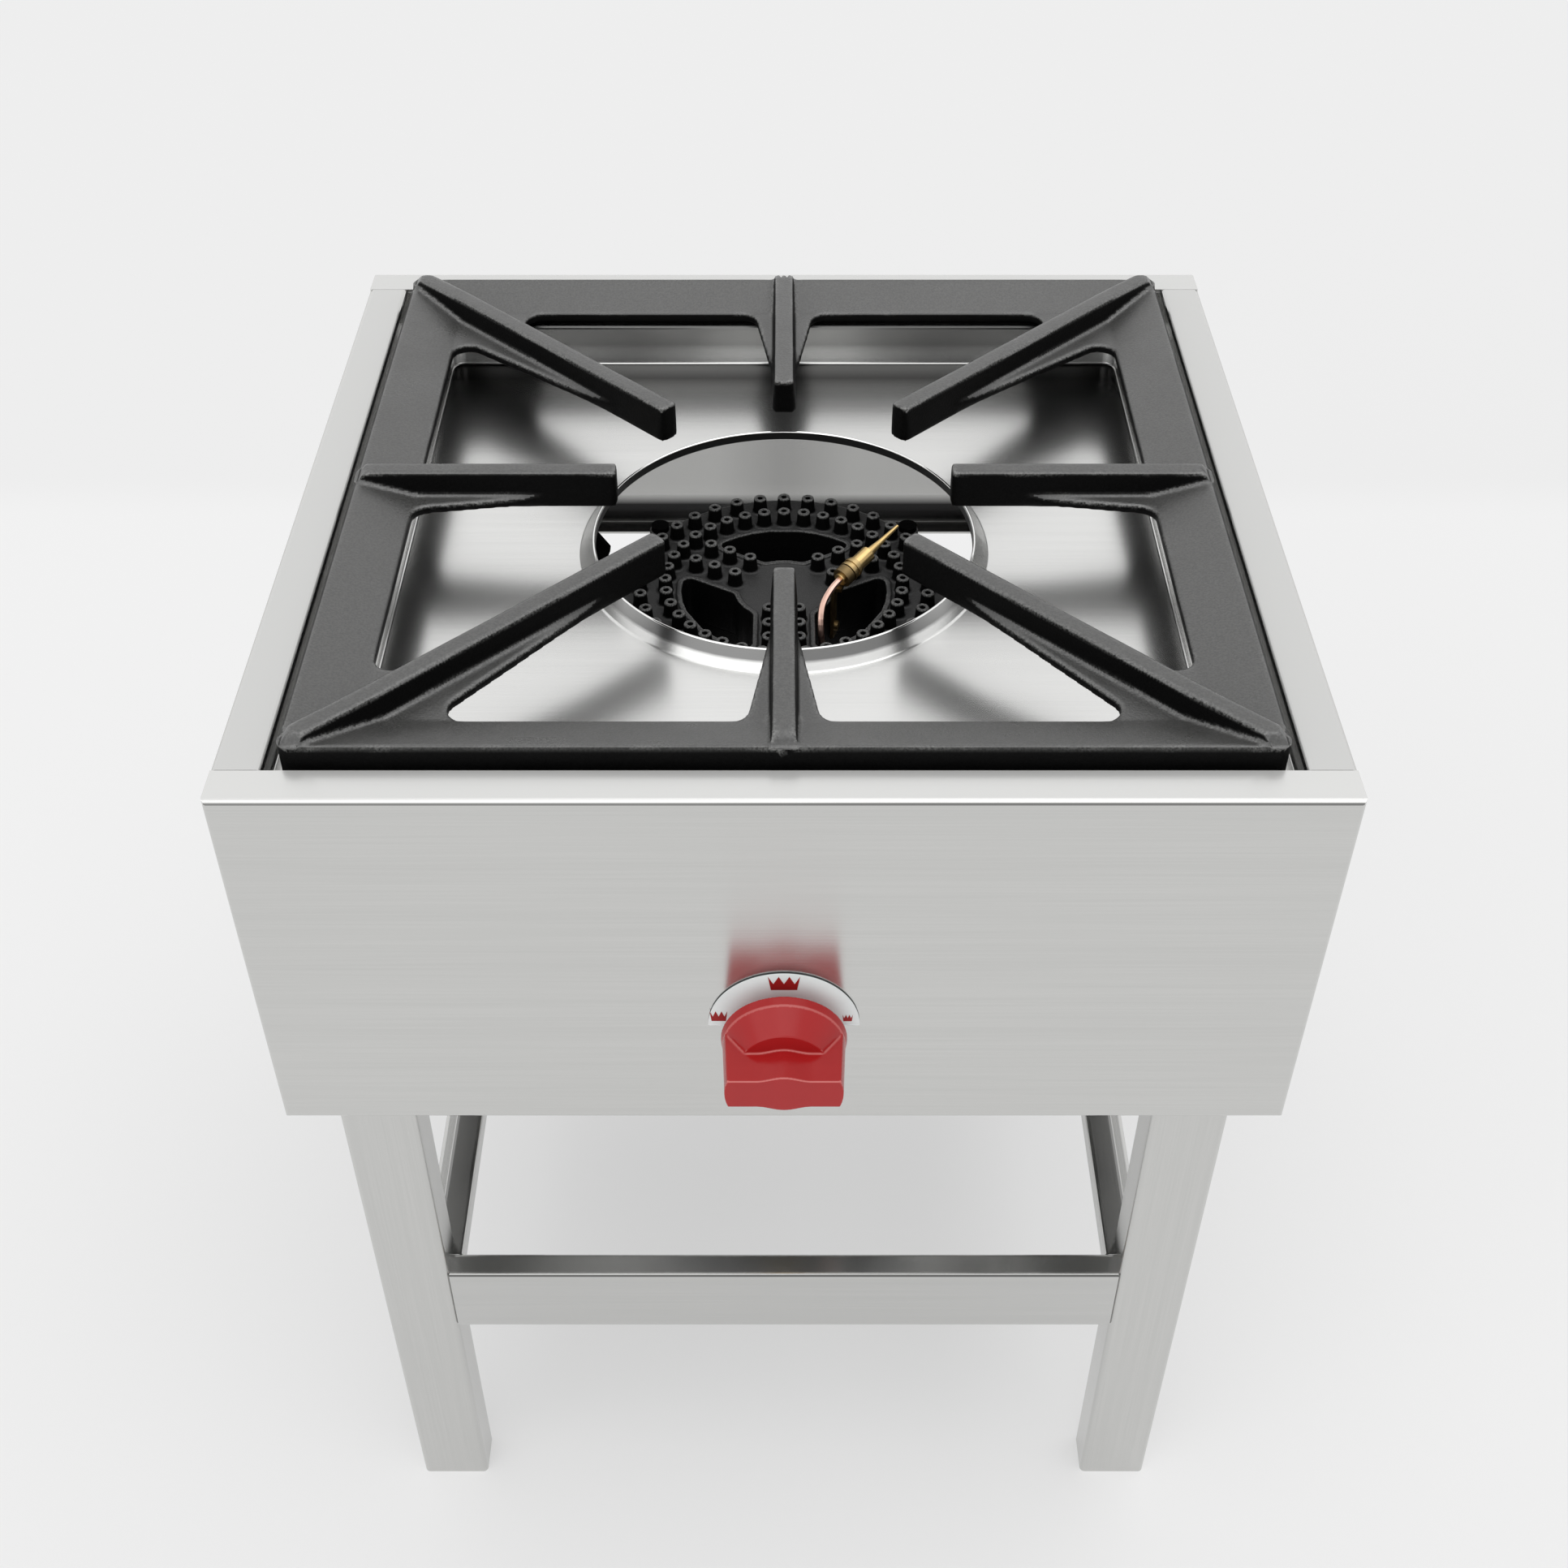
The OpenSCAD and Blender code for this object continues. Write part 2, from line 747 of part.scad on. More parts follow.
// Sweeps a cross-section round a rectangle with quarter-round corners. The section's x
// is its distance out from the corner centres, which lie at (cx, cy)
module swept_frame(cx, cy) {
    for (turn = [0:3]) {
        half_l = turn % 2 == 0 ? cy : cx;
        out = turn % 2 == 0 ? cx : cy;
        rotate([0, 0, 90 * turn]) {
            translate([out, half_l, 0]) rotate([90, 0, 0]) linear_extrude(2 * half_l) children();
            translate([out, half_l, 0]) rotate_extrude(angle = 90) children();
        }
    }
}

// Drip tray: pressed sheet with steep walls, a flange that hangs on the ledge and a
// raised collar round the hole over the burner
module drip_tray() {
    floor_mid = tray_floor_z - tray_t / 2;
    rim_mid = tray_rim_z + tray_t / 2;
    lean = tray_corner + tray_wall_run;
    wall_path = [[0, floor_mid], [tray_corner, floor_mid], [lean, rim_mid], [tray_out, rim_mid]];
    collar_path = [
        [collar_edge_r, floor_mid],
        [collar_foot_r, floor_mid],
        [collar_r + tray_t / 2, tray_floor_z + collar_h]
    ];
    color([0.8, 0.8, 0.79]) {
        difference() {
            translate([-tray_cx, -tray_cy, tray_floor_z - tray_t])
                cube([2 * tray_cx, 2 * tray_cy, tray_t]);
            translate([0, 0, tray_floor_z - tray_t - cut])
                cylinder(r = collar_edge_r, h = tray_t + 2 * cut, $fn = 128);
        }
        swept_frame(tray_cx, tray_cy) folded(wall_path, tray_t, tray_bend_r - tray_t / 2);
        rotate_extrude($fn = 128) folded(collar_path, tray_t, tray_bend_r - tray_t / 2);
    }
}

// Pan grate

// One side of the frame, to the right: a sloping web with a deep outer skirt, mitred
module frame_side(out_x, out_y) {
    section = [
        [out_x - frame_w, web_z - web_t],
        [out_x - skirt_t - web_t, frame_z - web_t - frame_slope / 2],
        [out_x - skirt_t, grate_z + web_t],
        [out_x - skirt_t, grate_z],
        [out_x, grate_z],
        [out_x, frame_z - frame_edge],
        [out_x - frame_edge, frame_z],
        [out_x - frame_w, web_z]
    ];
    intersection() {
        translate([0, out_y, 0]) rotate([90, 0, 0]) linear_extrude(2 * out_y) polygon(section);
        linear_extrude(frame_z + cut)
            polygon([
                [out_x, out_y],
                [out_x - frame_w, out_y - frame_w],
                [out_x - frame_w, frame_w - out_y],
                [out_x, -out_y]
            ]);
    }
}

// Point where the edge of a corner finger's web meets the frame's inner edge.
// The edge runs from half width corner_web_half at the frame's inner corner to half
// the finger's width at web_r
function corner_web_point(r) =
    let (share = (r - web_r) / (inner_corner_r - web_r))
    let (half = finger_w / 2 + share * (corner_web_half - finger_w / 2))
    r * diagonal + half * diagonal_side;

// Window beside the right-hand straight finger, up to the corner finger's web
function side_window() =
    let (a = corner_web_point(web_r), b = corner_web_point(inner_corner_r))
    let (meet = a + (b - a) * (frame_ix - a.x) / (b.x - a.x))
    [[0, 0], [web_r, finger_w / 2], [frame_ix, web_half], meet, a];

// Window between the corner finger's web and the straight finger at the back
function end_window() =
    let (mirror_side = 2 * diagonal)
    let (a0 = corner_web_point(web_r), b0 = corner_web_point(inner_corner_r))
    let (a = (a0 * diagonal) * mirror_side - a0, b = (b0 * diagonal) * mirror_side - b0)
    let (meet = a + (b - a) * (frame_iy - a.y) / (b.y - a.y))
    [[0, 0], a, meet, [web_half, frame_iy], [finger_w / 2, web_r]];

module windows() {
    height = web_t + 2 * cut;
    translate([0, 0, web_z - web_t - cut]) {
        for (sx = [0, 1], sy = [0, 1]) {
            mirror([sx, 0, 0]) mirror([0, sy, 0]) {
                linear_extrude(height) polygon(rounded(side_window(), [0, 0, window_r, window_r, 0]));
                linear_extrude(height) polygon(rounded(end_window(), [0, 0, window_r, window_r, 0]));
            }
        }
        cylinder(r = web_r, h = height);
    }
}

// A finger that points out to the right, from its round tip to out_r
module finger(out_r) {
    top_half = finger_w / 2;
    foot_half = top_half + finger_draft / 2;
    foot_z = finger_z - finger_h;
    section = rounded(
        [[-foot_half, foot_z], [foot_half, foot_z], [top_half, finger_z], [-top_half, finger_z]],
        [finger_foot_round, finger_foot_round, finger_top_round, finger_top_round],
        3
    );
    plan = rounded(
        [[tip_r, -foot_half], [out_r, -foot_half], [out_r, foot_half], [tip_r, foot_half]],
        [finger_tip_round, 0, 0, finger_tip_round]
    );
    intersection() {
        translate([tip_r, 0, 0]) rotate([90, 0, 90]) linear_extrude(out_r - tip_r) polygon(section);
        translate([0, 0, foot_z - cut]) linear_extrude(finger_h + 2 * cut) polygon(plan);
    }
}

module pan_grate() {
    color(dark_iron)
    intersection() {
        union() {
            difference() {
                union() {
                    for (turn = [0:3]) {
                        across = turn % 2 == 0;
                        rotate([0, 0, 90 * turn])
                            frame_side(across ? grate_x : grate_y, across ? grate_y : grate_x);
                    }
                    translate([-frame_ix, -frame_iy, web_z - web_t])
                        cube([2 * frame_ix, 2 * frame_iy, web_t]);
                }
                windows();
            }
            for (side = [0, 180]) {
                rotate([0, 0, side]) finger(grate_x);
                rotate([0, 0, side + 90]) finger(grate_y);
            }
            for (sx = [0, 1], sy = [0, 1]) {
                mirror([sx, 0, 0]) mirror([0, sy, 0])
                    rotate([0, 0, atan2(diagonal.y, diagonal.x)])
                    finger(norm([grate_x, grate_y]));
            }
        }
        translate([0, 0, grate_z - cut])
            linear_extrude(finger_z - grate_z + 2 * cut)
            round_rect(2 * grate_x, 2 * grate_y, frame_corner);
    }
}

// Burner

// Points of an arc about centre, from angle a0 to a1
function arc(centre, r, a0, a1, steps) =
    [for (k = [0:steps])
        let (a = a0 + (a1 - a0) * k / steps)
        centre + r * [cos(a), sin(a)]];

// Upper half of an air opening that faces +X, between spokes at 60 degrees to it, made
// larger all round by grow. A fillet joins the spoke's side to the ring and to the hub
function half_opening(grow) =
    let (r_out = opening_out_r + grow, r_in = hub_r - grow, side = spoke_half - grow)
    let (r_big = opening_corner_r + grow, r_small = hub_corner_r + grow)
    let (along = [cos(60), sin(60)], away = [sin(60), -cos(60)])
    let (out_run = sqrt((r_out - r_big) ^ 2 - (side + r_big) ^ 2))
    let (in_run = sqrt((r_in + r_small) ^ 2 - (side + r_small) ^ 2))
    let (big = out_run * along + (side + r_big) * away)
    let (small = in_run * along + (side + r_small) * away)
    let (big_a = atan2(big.y, big.x), small_a = atan2(small.y, small.x))
    concat(
        arc([0, 0], r_out, big_a / 4, big_a, 3),
        slice(arc(big, r_big, big_a, 150, corner_steps), 1, corner_steps),
        arc(small, r_small, 150, 180 + small_a, 4),
        [r_in * [cos(small_a / 3), sin(small_a / 3)]]
    );

// Whole outline of the air opening that faces az
function air_opening(az, grow) =
    let (half = half_opening(grow))
    [for (p = concat(half, [for (q = reversed(half)) [q.x, -q.y]])) turned(p, az)];

// Plan of both castings: ring, spokes, hub and ears, less the air openings
module burner_plan() {
    difference() {
        union() {
            circle(r = burner_r, $fn = 128);
            for (a = ear_angles) {
                rotate(a) translate([ear_r, 0]) circle(r = ear_size);
                rotate(a) translate([ear_r - 2 * ear_size, -ear_size])
                    square([2 * ear_size, 2 * ear_size]);
            }
        }
        for (az = opening_angles) polygon(air_opening(az, 0));
    }
}

module ear_holes(z0, z1) {
    for (a = ear_angles) {
        rotate([0, 0, a]) translate([ear_r, 0, z0]) cylinder(r = ear_screw_r, h = z1 - z0);
    }
}

// A jet: a short tapered nozzle with a flared foot, a bevelled rim and a gas hole
module jet() {
    foot = jet_foot_d / 2;
    top = jet_top_d / 2;
    hole = jet_hole_d / 2;
    translate([0, 0, head_top_z])
        rotate_extrude($fn = 24)
        polygon([
            [0, -cut],
            [foot + jet_flare, -cut],
            [foot + jet_flare, 0],
            [foot, jet_flare],
            [top, jet_h - jet_bevel],
            [top - jet_bevel, jet_h],
            [hole, jet_h],
            [hole, jet_h - jet_hole_h],
            [0, jet_h - jet_hole_h]
        ]);
}

// Places its child at each jet
module at_jets() {
    for (r = [inner_row_r, outer_row_r], i = [0:row_jets - 1]) {
        rotate([0, 0, 360 * i / row_jets]) translate([r, 0, 0]) children();
    }
    for (a = spoke_angles, r = spoke_rows, s = [-1, 1]) {
        rotate([0, 0, a]) translate([r, s * spoke_column, 0]) children();
    }
}

// Upper casting: a flat ring and three spokes that carry the jets, with a bead round
// each air opening
module burner_head() {
    color(dark_iron)
    difference() {
        union() {
            translate([0, 0, head_z]) linear_extrude(head_h) burner_plan();
            for (az = opening_angles) {
                translate([0, 0, head_top_z - cut])
                    linear_extrude(bead_h + cut)
                    difference() {
                        polygon(air_opening(az, bead_w));
                        polygon(air_opening(az, 0));
                    }
            }
            at_jets() jet();
        }
        ear_holes(head_z - cut, head_top_z + cut);
    }
}

// Lower casting: carries the head, and the mixer is bolted under its hub
module burner_bowl() {
    color(dark_iron)
    difference() {
        translate([0, 0, bowl_z]) linear_extrude(bowl_h) burner_plan();
        ear_holes(bowl_z - cut, head_z + cut);
        translate([0, 0, bowl_z - cut])
            cylinder(r = mixer_r - mixer_wall, h = bowl_h - mixer_wall + cut);
        for (sx = [-1, 1], sy = [-1, 1]) {
            translate([sx * bolt_x, sy * bar_y, bowl_z - cut])
                cylinder(r = bolt_r, h = bowl_h / 2 + cut);
        }
    }
}

// Screws through the ears, which hold the two castings together
module burner_screws() {
    color([0.3, 0.3, 0.3])
    for (a = ear_angles) {
        rotate([0, 0, a]) translate([ear_r, 0, 0]) {
            translate([0, 0, bowl_z]) cylinder(r = ear_screw_r, h = head_top_z - bowl_z);
            translate([0, 0, head_top_z]) cylinder(r = ear_size - 1, h = screw_head_h);
        }
    }
}

// Support bars

// Flat bar across the casing, with a tab turned up at each end
module support_bar(y) {
    difference() {
        union() {
            translate([-bar_half_l, y - bar_w / 2, bar_z]) cube([2 * bar_half_l, bar_w, bar_t]);
            for (sx = [-1, 1]) {
                translate([sx * (bar_half_l - bar_t / 2), y, bar_z + bar_tab_h / 2])
                    cube([bar_t, bar_w, bar_tab_h], center = true);
            }
        }
        for (sx = [-1, 1]) {
            translate([sx * bolt_x, y, bar_z - cut]) cylinder(r = bolt_r, h = bar_t + 2 * cut);
        }
    }
}

module front_support_bar() {
    color([0.18, 0.18, 0.18]) support_bar(-bar_y);
}

// The rear bar also has a lug that stands up beside the burner, on the left
module rear_support_bar() {
    lug_z = bar_z + bar_t;
    outline = rounded(
        [
            [-lug_x - lug_w, lug_z - bar_t / 2],
            [-lug_x - lug_nose, lug_z - bar_t / 2],
            [-lug_x - lug_nose, lug_z + lug_h - lug_nose_foot],
            [-lug_x, lug_z + lug_h - lug_nose_tip],
            [-lug_x - lug_slope, lug_z + lug_h],
            [-lug_x - lug_w, lug_z + lug_h]
        ],
        [0, 0, 3, 2, 3, 3]
    );
    color([0.18, 0.18, 0.18]) {
        support_bar(bar_y);
        translate([0, bar_y + lug_t / 2, 0]) rotate([90, 0, 0]) linear_extrude(lug_t) polygon(outline);
    }
}

module support_bolts() {
    color([0.6, 0.6, 0.58])
    for (sx = [-1, 1], sy = [-1, 1]) {
        translate([sx * bolt_x, sy * bar_y, bar_z - bolt_head_h]) {
            cylinder(r = bolt_head_r, h = bolt_head_h, $fn = 6);
            cylinder(r = bolt_r, h = bolt_head_h + bar_t + bowl_h / 2);
        }
    }
}

// Gas and air

// Outer form of the mixer, or its bore: mouth, venturi, tube and the bend up to the flange
module mixer_form(mouth, tube, front) {
    venturi_y = -mouth_y + mouth_l;
    rod_y(mouth, -front, venturi_y);
    translate([0, venturi_y + venturi_l, axis_z]) rotate([90, 0, 0])
        cylinder(r1 = tube, r2 = mouth, h = venturi_l);
    rod_y(tube, venturi_y + venturi_l, -mixer_bend);
    translate([0, -mixer_bend, mixer_flange_z]) rotate([0, 90, 0]) elbow(mixer_bend, tube);
}

// Mixer: cast tube in which air joins the gas, with air holes in the plate across its mouth
module mixer_tube() {
    color(dark_iron)
    difference() {
        union() {
            mixer_form(mouth_r, mixer_r, mouth_y);
            translate([0, 0, mixer_flange_z]) cylinder(r = mixer_flange_r, h = mixer_flange_t);
        }
        mixer_form(mouth_r - mixer_wall, mixer_r - mixer_wall, mouth_y - mouth_t);
        translate([0, 0, mixer_flange_z])
            cylinder(r = mixer_r - mixer_wall, h = mixer_flange_t + cut);
        rod_y(injector_neck_r, -mouth_y - cut, -mouth_y + mouth_t + cut);
        air_holes(-mouth_y - cut, -mouth_y + mouth_t + cut);
    }
}

module air_holes(y0, y1) {
    for (a = [0:90:270]) {
        rod_y(
            air_hole_r, y0, y1,
            x = air_hole_pitch * cos(a + 45),
            z = axis_z + air_hole_pitch * sin(a + 45)
        );
    }
}

// Air shutter: a disc that turns on the injector's neck and covers the air holes, with a
// tab to turn it by
module air_shutter() {
    back = -mouth_y - shutter_gap;
    color([0.62, 0.62, 0.6])
    difference() {
        union() {
            rod_y(mouth_r, back - shutter_t, back);
            translate([-tab_w / 2, back - shutter_t, axis_z - mouth_r - shutter_tab])
                cube([tab_w, shutter_t, mouth_r + shutter_tab]);
        }
        rod_y(injector_neck_r + run_gap, back - shutter_t - cut, back + cut);
        air_holes(back - shutter_t - cut, back + cut);
    }
}

// Injector: brass holder with its neck in the mixer's mouth and a fine nozzle
module injector() {
    neck_end = -mouth_y + mouth_t + neck_in;
    color(brass) {
        rod_y(injector_r, holder_y - holder_l, holder_y);
        rod_y(injector_neck_r, holder_y - cut, neck_end);
        rod_y(nozzle_r, neck_end - cut, neck_end + nozzle_l);
        rod_x(holder_boss_r, -holder_side, 0, holder_mid_y);
    }
}

// Tube from the tap's outlet, on the left, round to the injector
module feed_tube() {
    bend_x = outlet_boss_x + 6;
    run_x = bend_x + feed_bend;
    run_y0 = outlet_boss_y + feed_bend;
    run_y1 = holder_mid_y - feed_bend;
    color([0.75, 0.75, 0.76])
    mirror([1, 0, 0]) {
        rod_x(feed_r, outlet_boss_x, bend_x, outlet_boss_y);
        translate([bend_x, run_y0, axis_z]) rotate([0, 0, -90]) elbow(feed_bend, feed_r);
        rod_y(feed_r, run_y0, run_y1, x = run_x);
        translate([bend_x, run_y1, axis_z]) elbow(feed_bend, feed_r);
        rod_x(feed_r, holder_side, bend_x, holder_mid_y);
    }
}

// Tap body: neck through the panel, safety valve behind it, inlet on the right and
// outlet on the left
module tap_body() {
    color(brass)
    difference() {
        union() {
            rod_y(neck_r, neck_front, tap_main_y);
            rod_y(tap_flange_r, panel_back, tap_main_y);
            rod_y(tap_r, tap_main_y - cut, magnet_y);
            rod_y(magnet_r, magnet_y - cut, tail_y);
            rod_y(tail_thread_r, tail_y - cut, tail_end_y);
            rod_x(inlet_boss_r, 0, inlet_boss_x, inlet_boss_y);
            rod_x(outlet_boss_r, -outlet_boss_x, 0, outlet_boss_y);
        }
        rod_y(spindle_r + run_gap, neck_front - cut, spindle_back);
        rod_y(chamber_r, chamber_front, chamber_back);
        rod_y(rod_r + run_gap, chamber_back - cut, magnet_y);
        rod_y(valve_r, valve_front, valve_back);
    }
}

// Thin nut that clamps the dial plate and the tap to the panel
module tap_nut() {
    color([0.7, 0.7, 0.68])
    difference() {
        hex_y(tap_nut_r, neck_front, neck_front + tap_nut_t);
        rod_y(neck_r, neck_front - cut, neck_front + tap_nut_t + cut);
    }
}

// Push rod: opens the safety valve when the knob is pushed in
module tap_push_rod() {
    color([0.7, 0.7, 0.68]) {
        rod_y(rod_r, spindle_back + rest_gap, rod_back);
        rod_y(spindle_r, spindle_back + rest_gap, spindle_back + rest_gap + rod_head_t);
    }
}

module tap_spindle() {
    color([0.7, 0.7, 0.68]) rod_y(spindle_r, knob_back - spindle_in_knob, spindle_back);
}

// Half disc above the knob that carries the marks, with a ring round the tap's neck
module dial_plate() {
    color([0.95, 0.95, 0.94])
    difference() {
        union() {
            intersection() {
                rod_y(dial_r, -half_d - dial_t, -half_d);
                translate([-dial_r, -half_d - dial_t - cut, axis_z])
                    cube([2 * dial_r, dial_t + 2 * cut, dial_r + cut]);
            }
            rod_y(dial_ring_r, -half_d - dial_t, -half_d);
        }
        rod_y(neck_r + run_gap, -half_d - dial_t - cut, -half_d + cut);
    }
}

// Outline of the grip bar seen from the front, with a low wave in the middle
function grip_edge(way) = [for (k = [0:wave_steps])
    let (x = -wave_half + 2 * wave_half * k / wave_steps)
    [x, way * (grip_half + grip_wave * (1 + cos(180 * x / wave_half)) / 2)]];

// Control knob: a round skirt with a cone up to a flat face, and a grip bar across it
module control_knob() {
    wide = knob_r + cut;
    grip = concat(
        [[-wide, grip_half]], grip_edge(1), [[wide, grip_half], [wide, -grip_half]],
        reversed(grip_edge(-1)), [[-wide, -grip_half]]
    );
    color([0.72, 0.13, 0.13])
    translate([0, knob_back, axis_z]) rotate([90, 0, 0])
    difference() {
        union() {
            cylinder(r1 = knob_r, r2 = rim_r, h = skirt_rim, $fn = 96);
            translate([0, 0, skirt_rim])
                cylinder(r1 = rim_r, r2 = boss_r, h = grip_foot - skirt_rim, $fn = 96);
            intersection() {
                translate([0, 0, skirt_rim])
                    cylinder(r1 = rim_r, r2 = knob_front_r, h = knob_depth - skirt_rim, $fn = 96);
                linear_extrude(knob_depth + cut) polygon(grip);
            }
        }
        translate([0, 0, -cut]) cylinder(r = spindle_r, h = spindle_in_knob + cut);
    }
}

// Pipe from the tap's inlet to the gas inlet at the rear
module supply_pipe() {
    pipe_end = half_d - inlet_in + inlet_socket;
    color([0.68, 0.68, 0.66]) {
        rod_x(pipe_r, inlet_boss_x, pipe_x - pipe_bend, inlet_boss_y);
        translate([pipe_x - pipe_bend, inlet_boss_y + pipe_bend, axis_z])
            rotate([0, 0, -90]) elbow(pipe_bend, pipe_r);
        rod_y(pipe_r, inlet_boss_y + pipe_bend, pipe_end, x = pipe_x);
    }
}

module supply_nut() {
    color(brass)
    difference() {
        translate([inlet_boss_x, inlet_boss_y, axis_z]) rotate([0, 90, 0])
            cylinder(r = inlet_boss_r / cos(30), h = supply_nut_l, $fn = 6);
        rod_x(pipe_r, inlet_boss_x - cut, inlet_boss_x + supply_nut_l + cut, inlet_boss_y);
    }
}

// Gas inlet: socket for the pipe, a collar that bears on the inside of the rear panel,
// a neck for the locknut, a relief groove and the outer thread
module gas_inlet() {
    collar_y = half_d - sheet_t - inlet_collar_t;
    groove_y = half_d + locknut_t;
    color(brass)
    difference() {
        union() {
            rod_y(inlet_socket_r, half_d - inlet_in, collar_y, x = pipe_x);
            hex_y(inlet_hex_r, collar_y, half_d - sheet_t, x = pipe_x);
            rod_y(inlet_neck_r, half_d - sheet_t, groove_y, x = pipe_x);
            rod_y(inlet_r - inlet_relief, groove_y, groove_y + inlet_relief, x = pipe_x);
            rod_y(inlet_r, groove_y + inlet_relief, half_d + inlet_out, x = pipe_x);
        }
        rod_y(pipe_r, half_d - inlet_in - cut, half_d + inlet_out + cut, x = pipe_x);
    }
}

module inlet_locknut() {
    color(brass)
    difference() {
        hex_y(inlet_hex_r, half_d, half_d + locknut_t, x = pipe_x);
        rod_y(inlet_neck_r, half_d - cut, half_d + locknut_t + cut, x = pipe_x);
    }
}

// Thermocouple

// Places its child with +Z along the probe, from the tail towards the tip
module along_probe(from = 0) {
    translate(probe_tail + from * probe_dir) rotate([0, probe_tilt, probe_yaw]) children();
}

// Probe: stepped brass body and a fine pointed tip in the flames
module thermocouple_probe() {
    point_z = probe_body + probe_cone_l;
    color(brass)
    along_probe() {
        cylinder(r = probe_foot_r, h = probe_step);
        translate([0, 0, probe_step]) cylinder(r = probe_r, h = probe_body - probe_step);
        translate([0, 0, probe_body])
            cylinder(r1 = probe_shoulder_r, r2 = probe_cone_r, h = probe_cone_l);
        translate([0, 0, point_z])
            cylinder(r1 = probe_cone_r, r2 = probe_point_r, h = probe_l - point_z);
    }
}

// Grooved nut round the brass body
module thermocouple_nut() {
    nut_l = 4 * nut_ring_w;
    color([0.45, 0.36, 0.2])
    along_probe(probe_step)
    difference() {
        union() {
            cylinder(r = nut_groove_r, h = nut_l);
            for (k = [0:1]) {
                translate([0, 0, 2 * k * nut_ring_w]) cylinder(r = nut_ring_r, h = nut_ring_w);
            }
        }
        translate([0, 0, -cut]) cylinder(r = probe_r, h = nut_l + 2 * cut);
    }
}

// Clip that holds the tail of the brass body: a strip screwed to the hub's side in the
// front right air opening, with an arm and a ring
module thermocouple_clip() {
    ring_at = probe_tail + clip_at * probe_dir;
    arm_top = ring_at.z - clip_drop;
    wall_r = hub_r + run_gap;
    color([0.18, 0.18, 0.18])
    difference() {
        union() {
            rotate([0, 0, clip_az]) {
                translate([wall_r, -clip_w / 2, clip_foot_z])
                    cube([clip_t, clip_w, arm_top - clip_foot_z]);
                translate([wall_r, -clip_w / 2, arm_top - clip_t])
                    cube([norm([ring_at.x, ring_at.y]) - wall_r, clip_w, clip_t]);
                translate([wall_r + clip_t - cut, 0, clip_screw_z]) rotate([0, 90, 0])
                    cylinder(r = clip_screw_r, h = clip_screw_h + cut);
            }
            along_probe(clip_at - clip_ring_w / 2)
                cylinder(r = probe_foot_r + clip_t, h = clip_ring_w);
        }
        along_probe(clip_at - clip_ring_w) cylinder(r = probe_foot_r, h = 2 * clip_ring_w);
    }
}

// Point on the smooth curve through four points, at share s between the middle two
function curve(a, b, c, d, s) =
    0.5 * (2 * b + (c - a) * s + (2 * a - 5 * b + 4 * c - d) * s ^ 2
        + (3 * b - a - 3 * c + d) * s ^ 3);
function smooth(p, steps) =
    let (n = len(p))
    concat(
        [for (i = [0:n - 2], k = [0:steps - 1])
            curve(p[max(i - 1, 0)], p[i], p[i + 1], p[min(i + 2, n - 1)], k / steps)],
        [p[n - 1]]
    );

// Round tube along a line of points
module tube_along(p, r, sides) {
    n = len(p);
    rings = [for (i = [0:n - 1])
        let (t = unit(p[min(i + 1, n - 1)] - p[max(i - 1, 0)]))
        let (across = unit(cross(t, [1, 0, 0.02])), up = cross(across, t))
        [for (k = [0:sides - 1])
            p[i] + r * (cos(360 * k / sides) * across + sin(360 * k / sides) * up)]];
    faces = concat(
        [[for (k = [sides - 1:-1:0]) k]],
        [for (i = [0:n - 2], k = [0:sides - 1])
            let (a = i * sides + k, b = i * sides + (k + 1) % sides)
            [a, b, b + sides, a + sides]],
        [[for (k = [0:sides - 1]) (n - 1) * sides + k]]
    );
    polyhedron(flat(rings), faces, convexity = 4);
}

// Copper tube from the probe to the safety valve in the tap
module thermocouple_tube() {
    color([0.8, 0.5, 0.38]) tube_along(smooth(tube_route, tube_steps), capillary_r, tube_sides);
}

// Union nut that fixes the copper tube to the tap
module thermocouple_tail() {
    color(brass)
    difference() {
        hex_y(tail_nut_r, tail_end_y - tail_thread_l + cut, tail_end_y + tail_nut_l);
        rod_y(tail_thread_r, tail_end_y - tail_thread_l, tail_end_y);
    }
}

front_panel();
rear_panel();
left_side_panel();
right_side_panel();
front_left_leg();
front_right_leg();
rear_left_leg();
rear_right_leg();
leg_plugs();
leg_spacers();
front_stretcher();
rear_stretcher();
left_stretcher();
right_stretcher();
drip_tray();
pan_grate();
burner_head();
burner_bowl();
burner_screws();
front_support_bar();
rear_support_bar();
support_bolts();
mixer_tube();
air_shutter();
injector();
feed_tube();
tap_body();
tap_nut();
tap_push_rod();
tap_spindle();
control_knob();
dial_plate();
supply_pipe();
supply_nut();
gas_inlet();
inlet_locknut();
thermocouple_probe();
thermocouple_nut();
thermocouple_clip();
thermocouple_tube();
thermocouple_tail();
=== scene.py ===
import math

